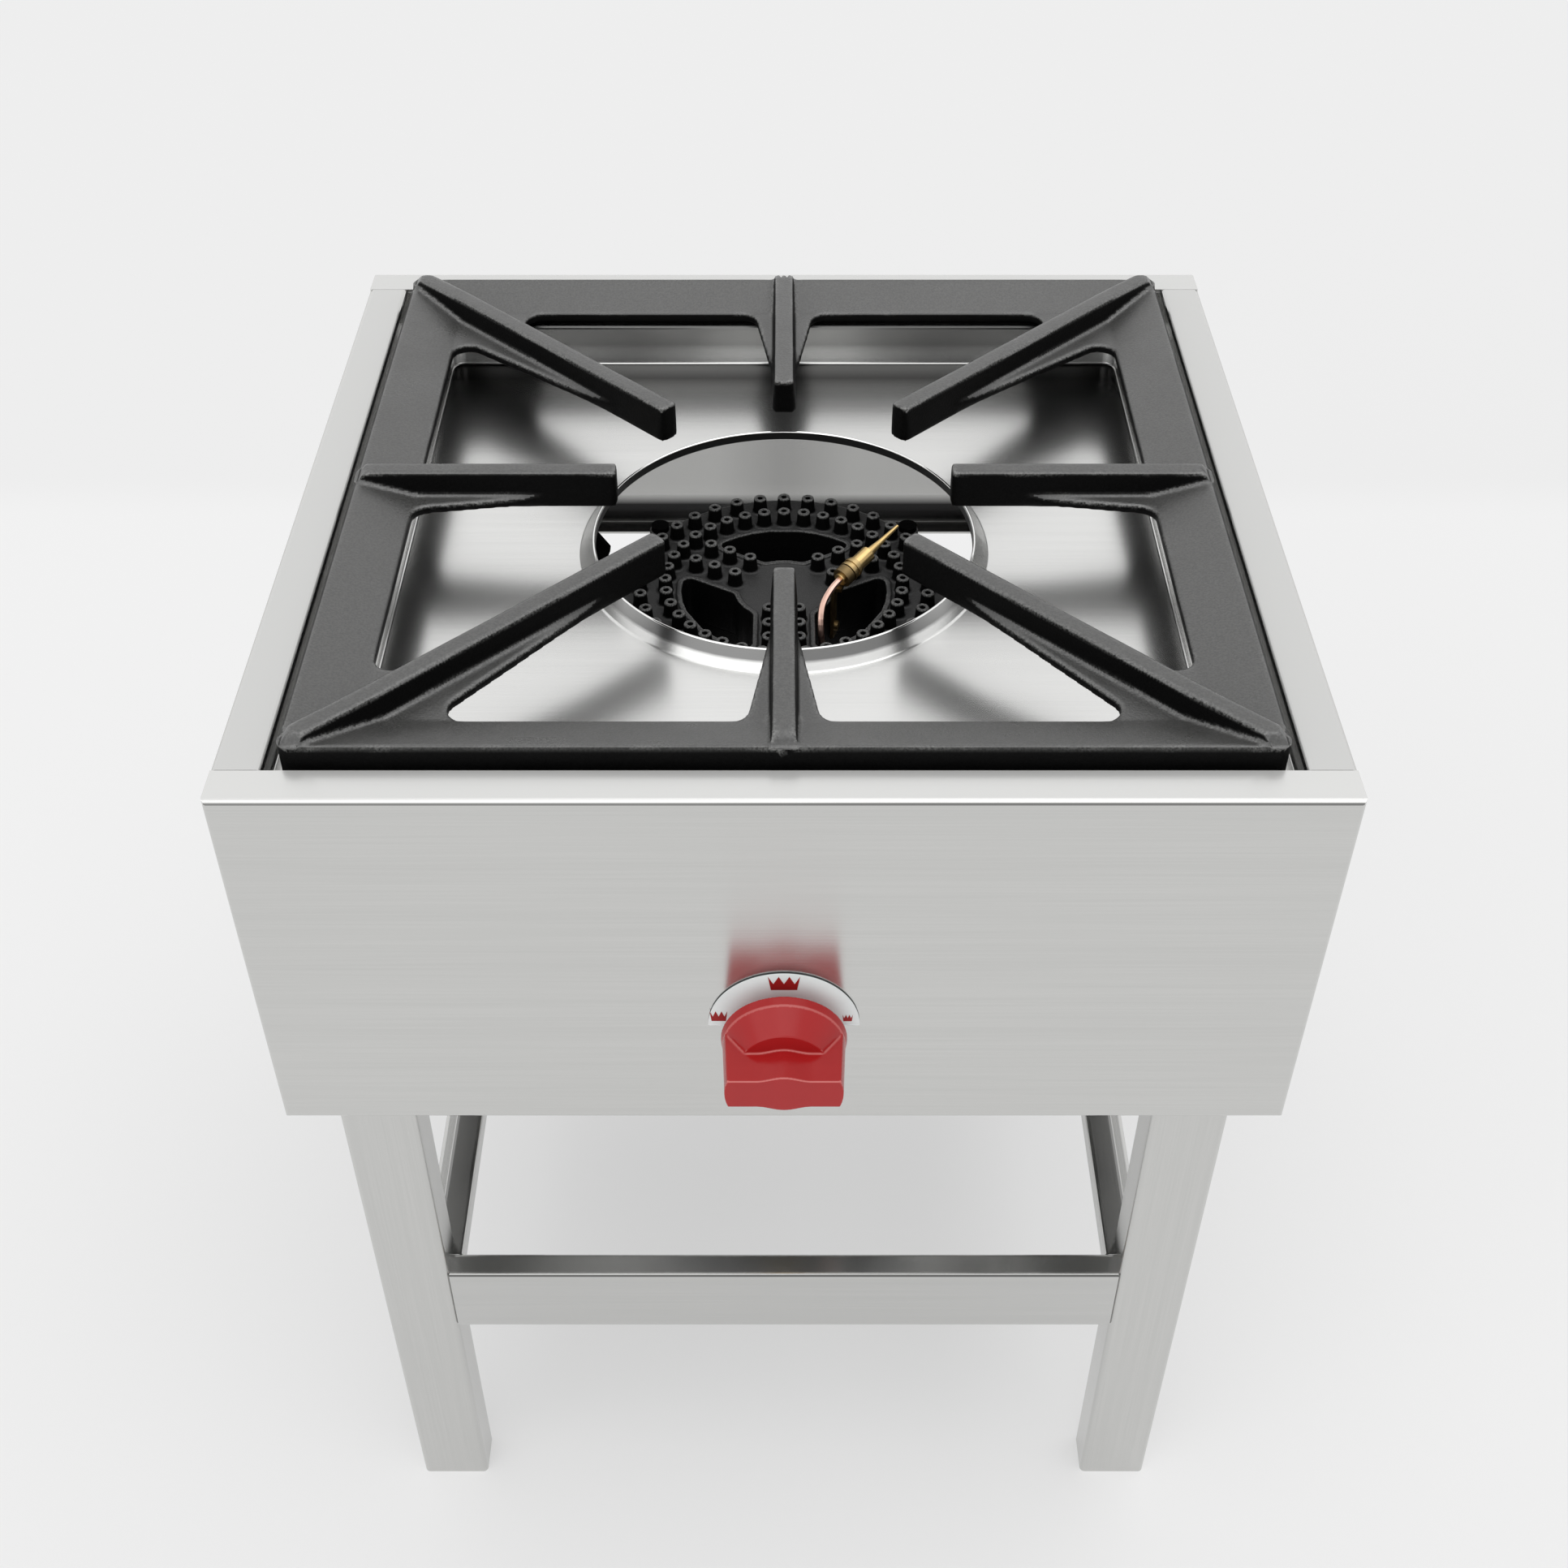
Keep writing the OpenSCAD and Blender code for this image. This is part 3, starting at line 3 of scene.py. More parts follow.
import bpy
import numpy as np
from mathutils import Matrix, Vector


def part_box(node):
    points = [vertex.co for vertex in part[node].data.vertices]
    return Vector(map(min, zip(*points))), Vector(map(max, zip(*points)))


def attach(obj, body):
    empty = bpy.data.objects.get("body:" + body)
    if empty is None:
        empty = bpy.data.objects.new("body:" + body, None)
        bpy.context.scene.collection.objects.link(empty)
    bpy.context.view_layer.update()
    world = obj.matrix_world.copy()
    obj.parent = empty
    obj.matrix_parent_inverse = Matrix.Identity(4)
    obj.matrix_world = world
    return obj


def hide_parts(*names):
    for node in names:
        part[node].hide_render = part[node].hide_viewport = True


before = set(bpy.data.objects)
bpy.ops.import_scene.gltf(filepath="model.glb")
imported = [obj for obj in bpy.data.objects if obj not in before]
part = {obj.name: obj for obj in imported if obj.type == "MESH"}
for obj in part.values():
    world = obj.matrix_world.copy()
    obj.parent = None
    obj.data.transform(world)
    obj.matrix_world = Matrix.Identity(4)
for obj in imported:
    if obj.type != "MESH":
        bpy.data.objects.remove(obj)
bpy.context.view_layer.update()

# Camera: looks down at the stove from the cook's side, where the photograph was taken.
camera_data = bpy.data.cameras.new("camera")
camera_data.lens = 44.4
camera_data.sensor_width = 36
camera = bpy.data.objects.new("camera", camera_data)
camera.location = (0, -0.8502, 1.1573)
camera.rotation_euler = (math.radians(48.133), 0, 0)
bpy.context.scene.collection.objects.link(camera)
bpy.context.scene.camera = camera
bpy.context.scene.view_settings.view_transform = "Standard"


# Studio: a plain pale floor under an even white sky, with two wide soft lamps. Camera,
# metal and glass see the same white, and the floor keeps the stove's shadow.
def add_node(tree, kind, inputs=None, **settings):
    made = tree.nodes.new(kind)
    for name, value in settings.items():
        setattr(made, name, value)
    for name, value in (inputs or {}).items():
        if isinstance(value, bpy.types.NodeSocket):
            tree.links.new(value, made.inputs[name])
        else:
            made.inputs[name].default_value = value
    return made


def mixed_colours(tree, share, first, second):
    """Colour between two, by a share that changes over the surface."""
    return add_node(
        tree, "ShaderNodeMix", {0: share, 6: first, 7: second}, data_type="RGBA"
    ).outputs[2]


def new_material(name, **settings):
    material = bpy.data.materials.new(name)
    material.use_nodes = True
    tree = material.node_tree
    shader = tree.nodes["Principled BSDF"]
    for key, value in settings.items():
        shader.inputs[key.replace("_", " ")].default_value = value
    return material, tree, shader


def seen_as_background(tree):
    """One where the camera, a reflection or a clear part sees the surface."""
    path = add_node(tree, "ShaderNodeLightPath")
    direct = add_node(
        tree,
        "ShaderNodeMath",
        {0: path.outputs["Is Camera Ray"], 1: path.outputs["Is Glossy Ray"]},
        operation="MAXIMUM",
    )
    return add_node(
        tree,
        "ShaderNodeMath",
        {0: direct.outputs[0], 1: path.outputs["Is Transmission Ray"]},
        operation="MAXIMUM",
    ).outputs[0]


def floor_material():
    """Pale grey, and a little darker far behind the stove."""
    material, tree, shader = new_material("pale_floor", Roughness=0.9, Specular_IOR_Level=0.0)
    place = add_node(tree, "ShaderNodeTexCoord")
    split = add_node(tree, "ShaderNodeSeparateXYZ", {"Vector": place.outputs["Object"]})
    far = add_node(
        tree,
        "ShaderNodeMapRange",
        {"Value": split.outputs["Y"], "From Min": 0.86, "From Max": 0.95},
        interpolation_type="SMOOTHSTEP",
    )
    near_grey = (0.87, 0.87, 0.87, 1)
    far_grey = (0.84, 0.84, 0.84, 1)
    tint = mixed_colours(tree, far.outputs[0], near_grey, far_grey)
    tree.links.new(tint, shader.inputs["Base Color"])
    glow = add_node(tree, "ShaderNodeEmission", {"Color": tint, "Strength": 1.0})
    share = add_node(
        tree, "ShaderNodeMath", {0: seen_as_background(tree), 1: 0.45}, operation="MULTIPLY"
    )
    both = add_node(
        tree,
        "ShaderNodeMixShader",
        {0: share.outputs[0], 1: shader.outputs[0], 2: glow.outputs[0]},
    )
    tree.links.new(both.outputs[0], tree.nodes["Material Output"].inputs["Surface"])
    return material


bpy.ops.object.select_all(action="DESELECT")
bpy.ops.mesh.primitive_plane_add(size=14, location=(0, 0, 0))
floor = bpy.context.object
floor.name = "floor"
floor.data.materials.append(floor_material())

world = bpy.data.worlds.new("studio")
bpy.context.scene.world = world
world.use_nodes = True
sky = world.node_tree
sky.nodes.clear()
ambient = add_node(sky, "ShaderNodeBackground", {"Color": (1, 1, 1, 1), "Strength": 0.70})
white = add_node(sky, "ShaderNodeBackground", {"Color": (1, 1, 1, 1), "Strength": 1.0})
either = add_node(
    sky,
    "ShaderNodeMixShader",
    {0: seen_as_background(sky), 1: ambient.outputs[0], 2: white.outputs[0]},
)
add_node(sky, "ShaderNodeOutputWorld", {"Surface": either.outputs[0]})


def soft_lamp(name, place, spread, strength):
    """Wide far lamp at a direction from the stove, even over the whole floor."""
    data = bpy.data.lights.new(name, "SUN")
    data.angle = math.radians(spread)
    data.energy = strength
    lamp = bpy.data.objects.new(name, data)
    lamp.location = place
    lamp.rotation_euler = Vector(place).to_track_quat("Z", "Y").to_euler()
    bpy.context.scene.collection.objects.link(lamp)


soft_lamp("overhead_lamp", (0.4, -0.1, 2.6), 60, 0.8)
soft_lamp("front_lamp", (-1.2, -1.8, 1.6), 60, 0.45)


# Casing: panels folded from 1.5 mm stainless sheet, brushed along their length before
# folding and welded at the corners. The CAD solids are shown as they are, with their finish.
def new_group(name, inputs, outputs):
    group = bpy.data.node_groups.new(name, "ShaderNodeTree")
    for socket, kind, value in inputs:
        made = group.interface.new_socket(socket, in_out="INPUT", socket_type=kind)
        if value is not None:
            made.default_value = value
    for socket, kind in outputs:
        group.interface.new_socket(socket, in_out="OUTPUT", socket_type=kind)
    return group, group.nodes.new("NodeGroupInput"), group.nodes.new("NodeGroupOutput")


def brushed_group():
    """Fine parallel scratches over slow clouds. Vector is squeezed along the grain."""
    group, given, result = new_group(
        "brushed_grain",
        [("Vector", "NodeSocketVector", None), ("Place", "NodeSocketVector", None)],
        [("Streak", "NodeSocketFloat"), ("Cloud", "NodeSocketFloat")],
    )
    fine = add_node(
        group,
        "ShaderNodeTexNoise",
        {"Vector": given.outputs["Vector"], "Scale": 1100.0, "Detail": 2.0, "Roughness": 0.5},
    )
    broad = add_node(
        group,
        "ShaderNodeTexNoise",
        {"Vector": given.outputs["Vector"], "Scale": 160.0, "Detail": 3.0, "Roughness": 0.6},
    )
    both = add_node(
        group, "ShaderNodeMix", {0: 0.45, 2: fine.outputs["Fac"], 3: broad.outputs["Fac"]}
    ).outputs[0]
    cloud = add_node(
        group,
        "ShaderNodeTexNoise",
        {"Vector": given.outputs["Place"], "Scale": 5.0, "Detail": 2.0, "Roughness": 0.5},
    )
    for value, output in ((both, "Streak"), (cloud.outputs["Fac"], "Cloud")):
        spread = add_node(
            group,
            "ShaderNodeMapRange",
            {"Value": value, "From Min": 0.3, "From Max": 0.7},
            interpolation_type="SMOOTHSTEP",
        )
        group.links.new(spread.outputs["Result"], result.inputs[output])
    return group


brushed_grain = brushed_group()


def brushed_steel(name, along, tint, rough, streak=0.03, stretched=0.75, depth=0.08):
    """Stainless steel brushed along x, y or z: its reflections blur across the grain."""
    material, tree, shader = new_material(
        name, Metallic=1.0, Anisotropic=stretched, Anisotropic_Rotation=0.25
    )
    place = add_node(tree, "ShaderNodeTexCoord").outputs["Object"]
    scale = [0.008 if axis == along else 1.0 for axis in "xyz"]
    squeeze = add_node(tree, "ShaderNodeMapping", {"Vector": place, "Scale": scale})
    grain = add_node(tree, "ShaderNodeGroup", node_tree=brushed_grain)
    tree.links.new(squeeze.outputs[0], grain.inputs["Vector"])
    tree.links.new(place, grain.inputs["Place"])
    dull = (*[c * (1 - streak) for c in tint], 1)
    bright = (*[min(1.0, c * (1 + streak)) for c in tint], 1)
    shade = mixed_colours(tree, grain.outputs["Streak"], dull, bright)
    stained = add_node(
        tree,
        "ShaderNodeMapRange",
        {"Value": grain.outputs["Cloud"], "To Min": 0.0, "To Max": 0.12},
    )
    wear_and_highlight = (*[c * 0.9 for c in tint], 1)
    colour = mixed_colours(tree, stained.outputs["Result"], shade, wear_and_highlight)
    gloss = add_node(
        tree,
        "ShaderNodeMapRange",
        {"Value": grain.outputs["Cloud"], "To Min": rough + 0.005, "To Max": rough - 0.03},
    )
    bump = add_node(
        tree,
        "ShaderNodeBump",
        {"Height": grain.outputs["Streak"], "Strength": depth, "Distance": 0.0001},
    )
    grain_direction = add_node(
        tree,
        "ShaderNodeCombineXYZ",
        {"XYZ"[i]: 1.0 if "xyz"[i] == along else 0.0 for i in range(3)},
    )
    tree.links.new(colour, shader.inputs["Base Color"])
    tree.links.new(gloss.outputs["Result"], shader.inputs["Roughness"])
    tree.links.new(bump.outputs["Normal"], shader.inputs["Normal"])
    tree.links.new(grain_direction.outputs[0], shader.inputs["Tangent"])
    return material


def dress(name, material):
    mesh = part[name].data
    mesh.materials.clear()
    mesh.materials.append(material)


def colour_of(material):
    return material.node_tree.nodes["Principled BSDF"].inputs["Base Color"]


def zone(tree, limits):
    """Share of the surface that lies inside limits, each given as axis ("X", "Y", "Z", or
    "R" for the distance from the z axis), middle, reach and width of the soft border."""
    place = add_node(tree, "ShaderNodeTexCoord").outputs["Object"]
    split = add_node(tree, "ShaderNodeSeparateXYZ", {"Vector": place})
    flat = add_node(
        tree, "ShaderNodeVectorMath", {0: place, 1: (1, 1, 0)}, operation="MULTIPLY"
    )
    out = add_node(tree, "ShaderNodeVectorMath", {0: flat.outputs[0]}, operation="LENGTH")
    share = 1.0
    for axis, middle, reach, border in limits:
        value = out.outputs["Value"] if axis == "R" else split.outputs[axis]
        off = add_node(tree, "ShaderNodeMath", {0: value, 1: middle}, operation="SUBTRACT")
        away = add_node(tree, "ShaderNodeMath", {0: off.outputs[0]}, operation="ABSOLUTE")
        within = add_node(
            tree,
            "ShaderNodeMapRange",
            {
                "Value": away.outputs[0],
                "From Min": reach - border,
                "From Max": reach,
                "To Min": 1.0,
                "To Max": 0.0,
            },
        )
        share = add_node(
            tree, "ShaderNodeMath", {0: within.outputs["Result"], 1: share}, operation="MULTIPLY"
        ).outputs[0]
    return share


def tint_zone(material, colour, limits, strength=1.0):
    """Mixes a colour into a material inside limits, to paint light and shade onto it."""
    tree = material.node_tree
    socket = colour_of(material)
    before = socket.links[0].from_socket
    share = add_node(
        tree, "ShaderNodeMath", {0: zone(tree, limits), 1: strength}, operation="MULTIPLY"
    )
    tree.links.new(mixed_colours(tree, share.outputs[0], before, (*colour, 1)), socket)


def sheet_face(axis, place, reach=0.0006, border=0.0002):
    """Limit that picks one face of a sheet, square to an axis."""
    return (axis, place, reach, border)


casing_tint = (0.62, 0.62, 0.607)
shaded = (0.12, 0.12, 0.117)
front_steel = brushed_steel("front_steel", "x", casing_tint, 0.21)
rear_steel = brushed_steel("rear_steel", "x", casing_tint, 0.24)
side_steel = brushed_steel("side_steel", "y", casing_tint, 0.22)
top_z = 0.6
rail_face = sheet_face("Z", top_z, 0.0006, 0.0003)
for steel, rail in ((front_steel, 0.72), (side_steel, 0.63), (rear_steel, 0.68)):
    # The top rails are rubbed matt by pans, so they scatter light more than the sides. Their pale
    # colour is the rubbed steel's, and its differing strength on the front, side and rear rails is
    # painted light.
    tree = steel.node_tree
    rubbed = add_node(
        tree,
        "ShaderNodeMapRange",
        {"Value": zone(tree, [rail_face]), "To Min": 1.0, "To Max": 0.45},
    )
    tree.links.new(rubbed.outputs["Result"], tree.nodes["Principled BSDF"].inputs["Metallic"])
    tint_zone(steel, (rail, rail, 0.985 * rail), [rail_face])
# The fold under the front's top edge is in shade. So is the inside of the rear panel, most
# of all above its bottom flange and behind the middle finger of the grate.
front_y = -0.24
front_fold_z = 0.5985
tint_zone(
    front_steel,
    shaded,
    [sheet_face("Y", front_y, 0.0007), ("Z", front_fold_z, 0.0007, 0.0003)],
    0.8,
)
rear_inside = sheet_face("Y", 0.2385)
behind_hole = ("Z", 0.5, 0.09, 0.04)
above_flange = ("Z", 0.4275, 0.0135, 0.008)
behind_finger = ("X", 0.0, 0.045, 0.04)
tint_zone(rear_steel, (0.5, 0.5, 0.49), [rear_inside, behind_hole], 0.7)
tint_zone(rear_steel, (0.03, 0.03, 0.03), [rear_inside, above_flange])
tint_zone(rear_steel, (0.3, 0.3, 0.295), [behind_finger, rear_inside, behind_hole], 0.5)
dress("front_panel", front_steel)
dress("rear_panel", rear_steel)
for name in ("left_side_panel", "right_side_panel"):
    dress(name, side_steel)

# Legs: four lengths of 40 x 25 mm stainless tube, brushed along their length, welded to
# the panels by short box spacers and closed at the floor by black plastic plugs.
def enamel(name, colour, rough, shine=0.25):
    """Enamel or moulded plastic: faint clouds, and an orange-peel surface."""
    material, tree, shader = new_material(name, Specular_IOR_Level=shine)
    place = add_node(tree, "ShaderNodeTexCoord")
    cloud = add_node(
        tree,
        "ShaderNodeTexNoise",
        {"Vector": place.outputs["Object"], "Scale": 90.0, "Detail": 3.0},
    )
    peel = add_node(
        tree,
        "ShaderNodeTexNoise",
        {"Vector": place.outputs["Object"], "Scale": 1500.0, "Detail": 2.0},
    )
    full = (*colour, 1)
    pale = (*[c * 0.9 for c in colour], 1)
    tint = mixed_colours(tree, cloud.outputs["Fac"], pale, full)
    gloss = add_node(
        tree,
        "ShaderNodeMapRange",
        {"Value": cloud.outputs["Fac"], "To Min": rough + 0.08, "To Max": rough - 0.08},
    )
    bump = add_node(
        tree,
        "ShaderNodeBump",
        {"Height": peel.outputs["Fac"], "Strength": 0.08, "Distance": 0.0002},
    )
    tree.links.new(tint, shader.inputs["Base Color"])
    tree.links.new(gloss.outputs["Result"], shader.inputs["Roughness"])
    tree.links.new(bump.outputs["Normal"], shader.inputs["Normal"])
    return material


upright_steel = brushed_steel("upright_steel", "z", casing_tint, 0.26)
for name in ("front_left_leg", "front_right_leg", "rear_left_leg", "rear_right_leg", "leg_spacers"):
    dress(name, upright_steel)
dress("leg_plugs", enamel("plug_black", (0.02, 0.02, 0.02), 0.5))

# Stretchers: folded channels between the legs, brushed along their length. Their folds
# and the flanges of the side ones show the dark underside of the casing.
stretcher_top = 0.218
channel_tint = (0.585, 0.585, 0.575)
front_channel = brushed_steel("front_channel", "x", channel_tint, 0.21)
side_channel = brushed_steel("side_channel", "y", channel_tint, 0.22)
fold_y = sheet_face("Y", -0.2195, 0.0009, 0.0003)
tint_zone(front_channel, shaded, [fold_y, ("Z", stretcher_top, 0.0016, 0.0004)])
flange_top = sheet_face("Z", stretcher_top, 0.0009, 0.0004)
tint_zone(side_channel, (0.22, 0.22, 0.215), [flange_top], 0.9)
for name in ("front_stretcher", "rear_stretcher"):
    dress(name, front_channel)
for name in ("left_stretcher", "right_stretcher"):
    dress(name, side_channel)

# Drip tray: pressed from bright 1.2 mm stainless sheet, smoother than the casing. It
# hangs by its flange in the casing's rebate and lifts out.
tray_steel = brushed_steel("tray_steel", "x", (0.76, 0.76, 0.75), 0.268, 0.02, 0.35, 0.05)
tray_floor = sheet_face("Z", 0.565)
wall_heights = ("Z", 0.577, 0.0125, 0.001)
wall_middle_y = 0.1955
floor_edge_y = 0.192
for side, reach in ((-1, 0.03), (1, 0.043)):
    # The front and rear walls and the floor beside them are painted darker: painted shade, and the
    # painted reflection of the dark grate.
    wall = ("Y", side * wall_middle_y, 0.0035, 0.001)
    tint_zone(tray_steel, (0.25, 0.25, 0.245), [wall, wall_heights])
    beside_wall = ("Y", side * floor_edge_y, reach, 0.6 * reach)
    tint_zone(tray_steel, (0.09, 0.09, 0.088), [beside_wall, tray_floor])
# The upper half of the collar's wall is painted darker too, at the front, as painted shade.
collar_wall = ("R", 0.1035, 0.0045, 0.0005)
upper_half = ("Z", 0.5718, 0.0034, 0.0014)
front_half = ("Y", -0.1, 0.065, 0.045)
tint_zone(tray_steel, (0.2, 0.2, 0.198), [collar_wall, upper_half, front_half])
dress("drip_tray", tray_steel)

# The edge of the collar is rolled into a thin polished lip, and its cut end hangs down
# inside as a short flange, painted near-black as painted shade under the lip.
bpy.ops.object.select_all(action="DESELECT")
lip_height = 0.5735
lip_radius = 0.1004
lip_thickness = 0.0016
bpy.ops.mesh.primitive_torus_add(
    major_radius=lip_radius,
    minor_radius=lip_thickness / 2,
    major_segments=144,
    minor_segments=10,
    location=(0, 0, lip_height),
)
lip = bpy.context.object
lip.name = "collar_lip"
lip.data.materials.append(
    brushed_steel("polished_lip", "z", (0.9, 0.9, 0.89), 0.12, 0.01, 0.0, 0.02)
)
flange_drop = 0.0042
flange_radius = 0.1002
bpy.ops.mesh.primitive_cylinder_add(
    vertices=144,
    radius=flange_radius,
    depth=flange_drop,
    end_fill_type="NOTHING",
    location=(0, 0, lip_height - flange_drop / 2),
)
flange = bpy.context.object
flange.data.materials.append(enamel("lip_shade_black", (0.016, 0.016, 0.016), 0.45))
sheet = flange.modifiers.new("sheet", "SOLIDIFY")
sheet.thickness = 0.0006
sheet.offset = -1
bpy.ops.object.modifier_apply(modifier="sheet")
lip.select_set(True)
bpy.context.view_layer.objects.active = lip
bpy.ops.object.join()
bpy.ops.object.transform_apply(location=True, rotation=True, scale=True)
bpy.ops.object.shade_smooth_by_angle(angle=math.radians(40))
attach(lip, "tray")


# Pan grate: one iron sand casting with a black enamel wash. The copy of its solid is
# turned into even small faces and relaxed, which rounds every cast edge and corner.
def sand_group():
    """Grain of a sand mould: fine pits and beads over slow waves."""
    group, given, result = new_group(
        "sand_grain",
        [("Vector", "NodeSocketVector", None), ("Scale", "NodeSocketFloat", 900.0)],
        [
            ("Speck", "NodeSocketFloat"),
            ("Wave", "NodeSocketFloat"),
            ("Height", "NodeSocketFloat"),
        ],
    )
    grain = add_node(
        group,
        "ShaderNodeTexNoise",
        {
            "Vector": given.outputs["Vector"],
            "Scale": given.outputs["Scale"],
            "Detail": 3.0,
            "Roughness": 0.6,
        },
    )
    slow = add_node(
        group,
        "ShaderNodeTexNoise",
        {"Vector": given.outputs["Vector"], "Scale": 35.0, "Detail": 2.0},
    )
    for made, output in ((grain, "Speck"), (slow, "Wave")):
        spread = add_node(
            group,
            "ShaderNodeMapRange",
            {"Value": made.outputs["Fac"], "From Min": 0.32, "From Max": 0.68},
            interpolation_type="SMOOTHSTEP",
        )
        group.links.new(spread.outputs["Result"], result.inputs[output])
    both = add_node(
        group, "ShaderNodeMix", {0: 0.2, 2: grain.outputs["Fac"], 3: slow.outputs["Fac"]}
    )
    group.links.new(both.outputs[0], result.inputs["Height"])
    return group


sand_grain = sand_group()


def cast_iron(name, side, top, edge, rough, scale=900.0, strength=0.5, shine=0.2):
    """Iron that is black on its sides, painted greyer on its tops as painted light, and painted
    bright on its edges as painted highlights and wear.
    """
    material, tree, shader = new_material(name, Specular_IOR_Level=shine)
    place = add_node(tree, "ShaderNodeTexCoord")
    grain = add_node(tree, "ShaderNodeGroup", node_tree=sand_grain)
    tree.links.new(place.outputs["Object"], grain.inputs["Vector"])
    grain.inputs["Scale"].default_value = scale
    upward = add_node(tree, "ShaderNodeAttribute", attribute_name="upward")
    wear_and_highlight = add_node(tree, "ShaderNodeAttribute", attribute_name="wear_and_highlight")
    faced = mixed_colours(tree, upward.outputs["Fac"], (*side, 1), (*top, 1))
    speck = add_node(
        tree, "ShaderNodeMapRange", {"Value": grain.outputs["Speck"], "To Min": 0.72, "To Max": 1.2}
    )
    spotted = add_node(
        tree,
        "ShaderNodeMix",
        {0: 1.0, 6: faced, 7: speck.outputs["Result"]},
        data_type="RGBA",
        blend_type="MULTIPLY",
    ).outputs[2]
    wear_and_highlight_share = add_node(
        tree,
        "ShaderNodeMath",
        {0: wear_and_highlight.outputs["Fac"], 1: grain.outputs["Speck"]},
        operation="MULTIPLY",
    )
    colour = mixed_colours(tree, wear_and_highlight_share.outputs[0], spotted, (*edge, 1))
    gloss = add_node(
        tree,
        "ShaderNodeMapRange",
        {"Value": grain.outputs["Wave"], "To Min": rough + 0.06, "To Max": rough - 0.06},
    )
    bump = add_node(
        tree,
        "ShaderNodeBump",
        {"Height": grain.outputs["Height"], "Strength": strength, "Distance": 0.0005},
    )
    tree.links.new(colour, shader.inputs["Base Color"])
    tree.links.new(gloss.outputs["Result"], shader.inputs["Roughness"])
    tree.links.new(bump.outputs["Normal"], shader.inputs["Normal"])
    return material


def copied_solid(node, name):
    """A merged copy of a node's mesh, ready to be worked on."""
    mesh = part[node].data.copy()
    made = bpy.data.objects.new(name, mesh)
    bpy.context.scene.collection.objects.link(made)
    mesh.materials.clear()
    bpy.ops.object.select_all(action="DESELECT")
    bpy.context.view_layer.objects.active = made
    made.select_set(True)
    bpy.ops.object.mode_set(mode="EDIT")
    bpy.ops.mesh.select_all(action="SELECT")
    bpy.ops.mesh.remove_doubles(threshold=0.00001)
    bpy.ops.object.mode_set(mode="OBJECT")
    return made


def apply_all(made):
    bpy.context.view_layer.objects.active = made
    for modifier in list(made.modifiers):
        bpy.ops.object.modifier_apply(modifier=modifier.name)


def surface_turn(mesh):
    """Places, facings and edges of a mesh, and how sharply it bends out at each point."""
    count = len(mesh.vertices)
    place = np.empty(count * 3, dtype=np.float32)
    mesh.vertices.foreach_get("co", place)
    place = place.reshape(-1, 3)
    facing = np.empty(count * 3, dtype=np.float32)
    mesh.vertex_normals.foreach_get("vector", facing)
    facing = facing.reshape(-1, 3)
    ends = np.empty(len(mesh.edges) * 2, dtype=np.int32)
    mesh.edges.foreach_get("vertices", ends)
    first, second = ends.reshape(-1, 2).T
    along = place[second] - place[first]
    turn = ((facing[second] - facing[first]) * along).sum(axis=1)
    turn /= np.maximum((along**2).sum(axis=1), 1e-12)
    joined = np.maximum(np.bincount(ends, minlength=count), 1)
    bent = np.bincount(first, turn, count) + np.bincount(second, turn, count)
    bent /= joined
    evened = np.bincount(first, bent[second], count) + np.bincount(second, bent[first], count)
    return facing, first, second, evened / joined


most_triangles = 190000


def relaxed_casting(node, name, voxel, rounds, fillet_rounds=0):
    """Even faces all over a solid, relaxed so that edges are rounded and inner corners
    are filled, as in a mould."""
    made = copied_solid(node, name)
    remesh = made.modifiers.new("even_faces", "REMESH")
    remesh.mode = "VOXEL"
    remesh.voxel_size = voxel
    relax = made.modifiers.new("soft_edges", "SMOOTH")
    relax.factor = 0.5
    relax.iterations = rounds
    apply_all(made)
    if fillet_rounds:
        facing, first, second, bent = surface_turn(made.data)
        hollow = np.clip(-bent * voxel * 4, 0, 1)
        for step in range(4):
            wider = hollow.copy()
            np.maximum.at(wider, first, hollow[second] * 0.9)
            np.maximum.at(wider, second, hollow[first] * 0.9)
            hollow = wider
        inner = made.vertex_groups.new(name="inner_corners")
        for level in range(1, 6):
            chosen = np.nonzero(np.round(hollow * 5) == level)[0]
            inner.add([int(i) for i in chosen], level / 5, "REPLACE")
        fill = made.modifiers.new("fillets", "SMOOTH")
        fill.factor = 0.5
        fill.iterations = fillet_rounds
        fill.vertex_group = "inner_corners"
        apply_all(made)
        made.vertex_groups.clear()
    triangles = 2 * len(made.data.polygons)
    if triangles > most_triangles:
        fewer = made.modifiers.new("fewer_faces", "DECIMATE")
        fewer.ratio = most_triangles / triangles
        apply_all(made)
    bpy.ops.object.shade_smooth()
    return made


def mark_light_and_wear(made, edge_radius, least=0.6, inner_too=False):
    """Stores how far each point faces up, for tops painted lighter as painted light, and how
    sharply the surface bends there, for edges painted lighter as painted highlights and wear. Inner
    corners count too where they are asked for."""
    facing, first, second, bent = surface_turn(made.data)
    if inner_too:
        bent = np.abs(bent)
    bent = bent * np.clip(facing[:, 2] * 3, 0, 1)
    for name, value in (
        ("upward", (facing[:, 2] - 0.3) / 0.6),
        ("wear_and_highlight", bent * edge_radius * 2.6 - least),
    ):
        stored = made.data.attributes.new(name, "FLOAT", "POINT")
        stored.data.foreach_set("value", np.clip(value, 0, 1).astype(np.float32))


def dress_casting(made, tops, sides, least_up=0.4):
    """The matt copy with less shine goes on every face that doesn't look up, as painted shade on the
    sides.
    """
    mesh = made.data
    mesh.materials.clear()
    mesh.materials.append(tops)
    mesh.materials.append(sides)
    facing = np.empty(len(mesh.polygons) * 3, dtype=np.float32)
    mesh.polygons.foreach_get("normal", facing)
    chosen = (facing.reshape(-1, 3)[:, 2] < least_up).astype(np.int32)
    mesh.polygons.foreach_set("material_index", chosen)


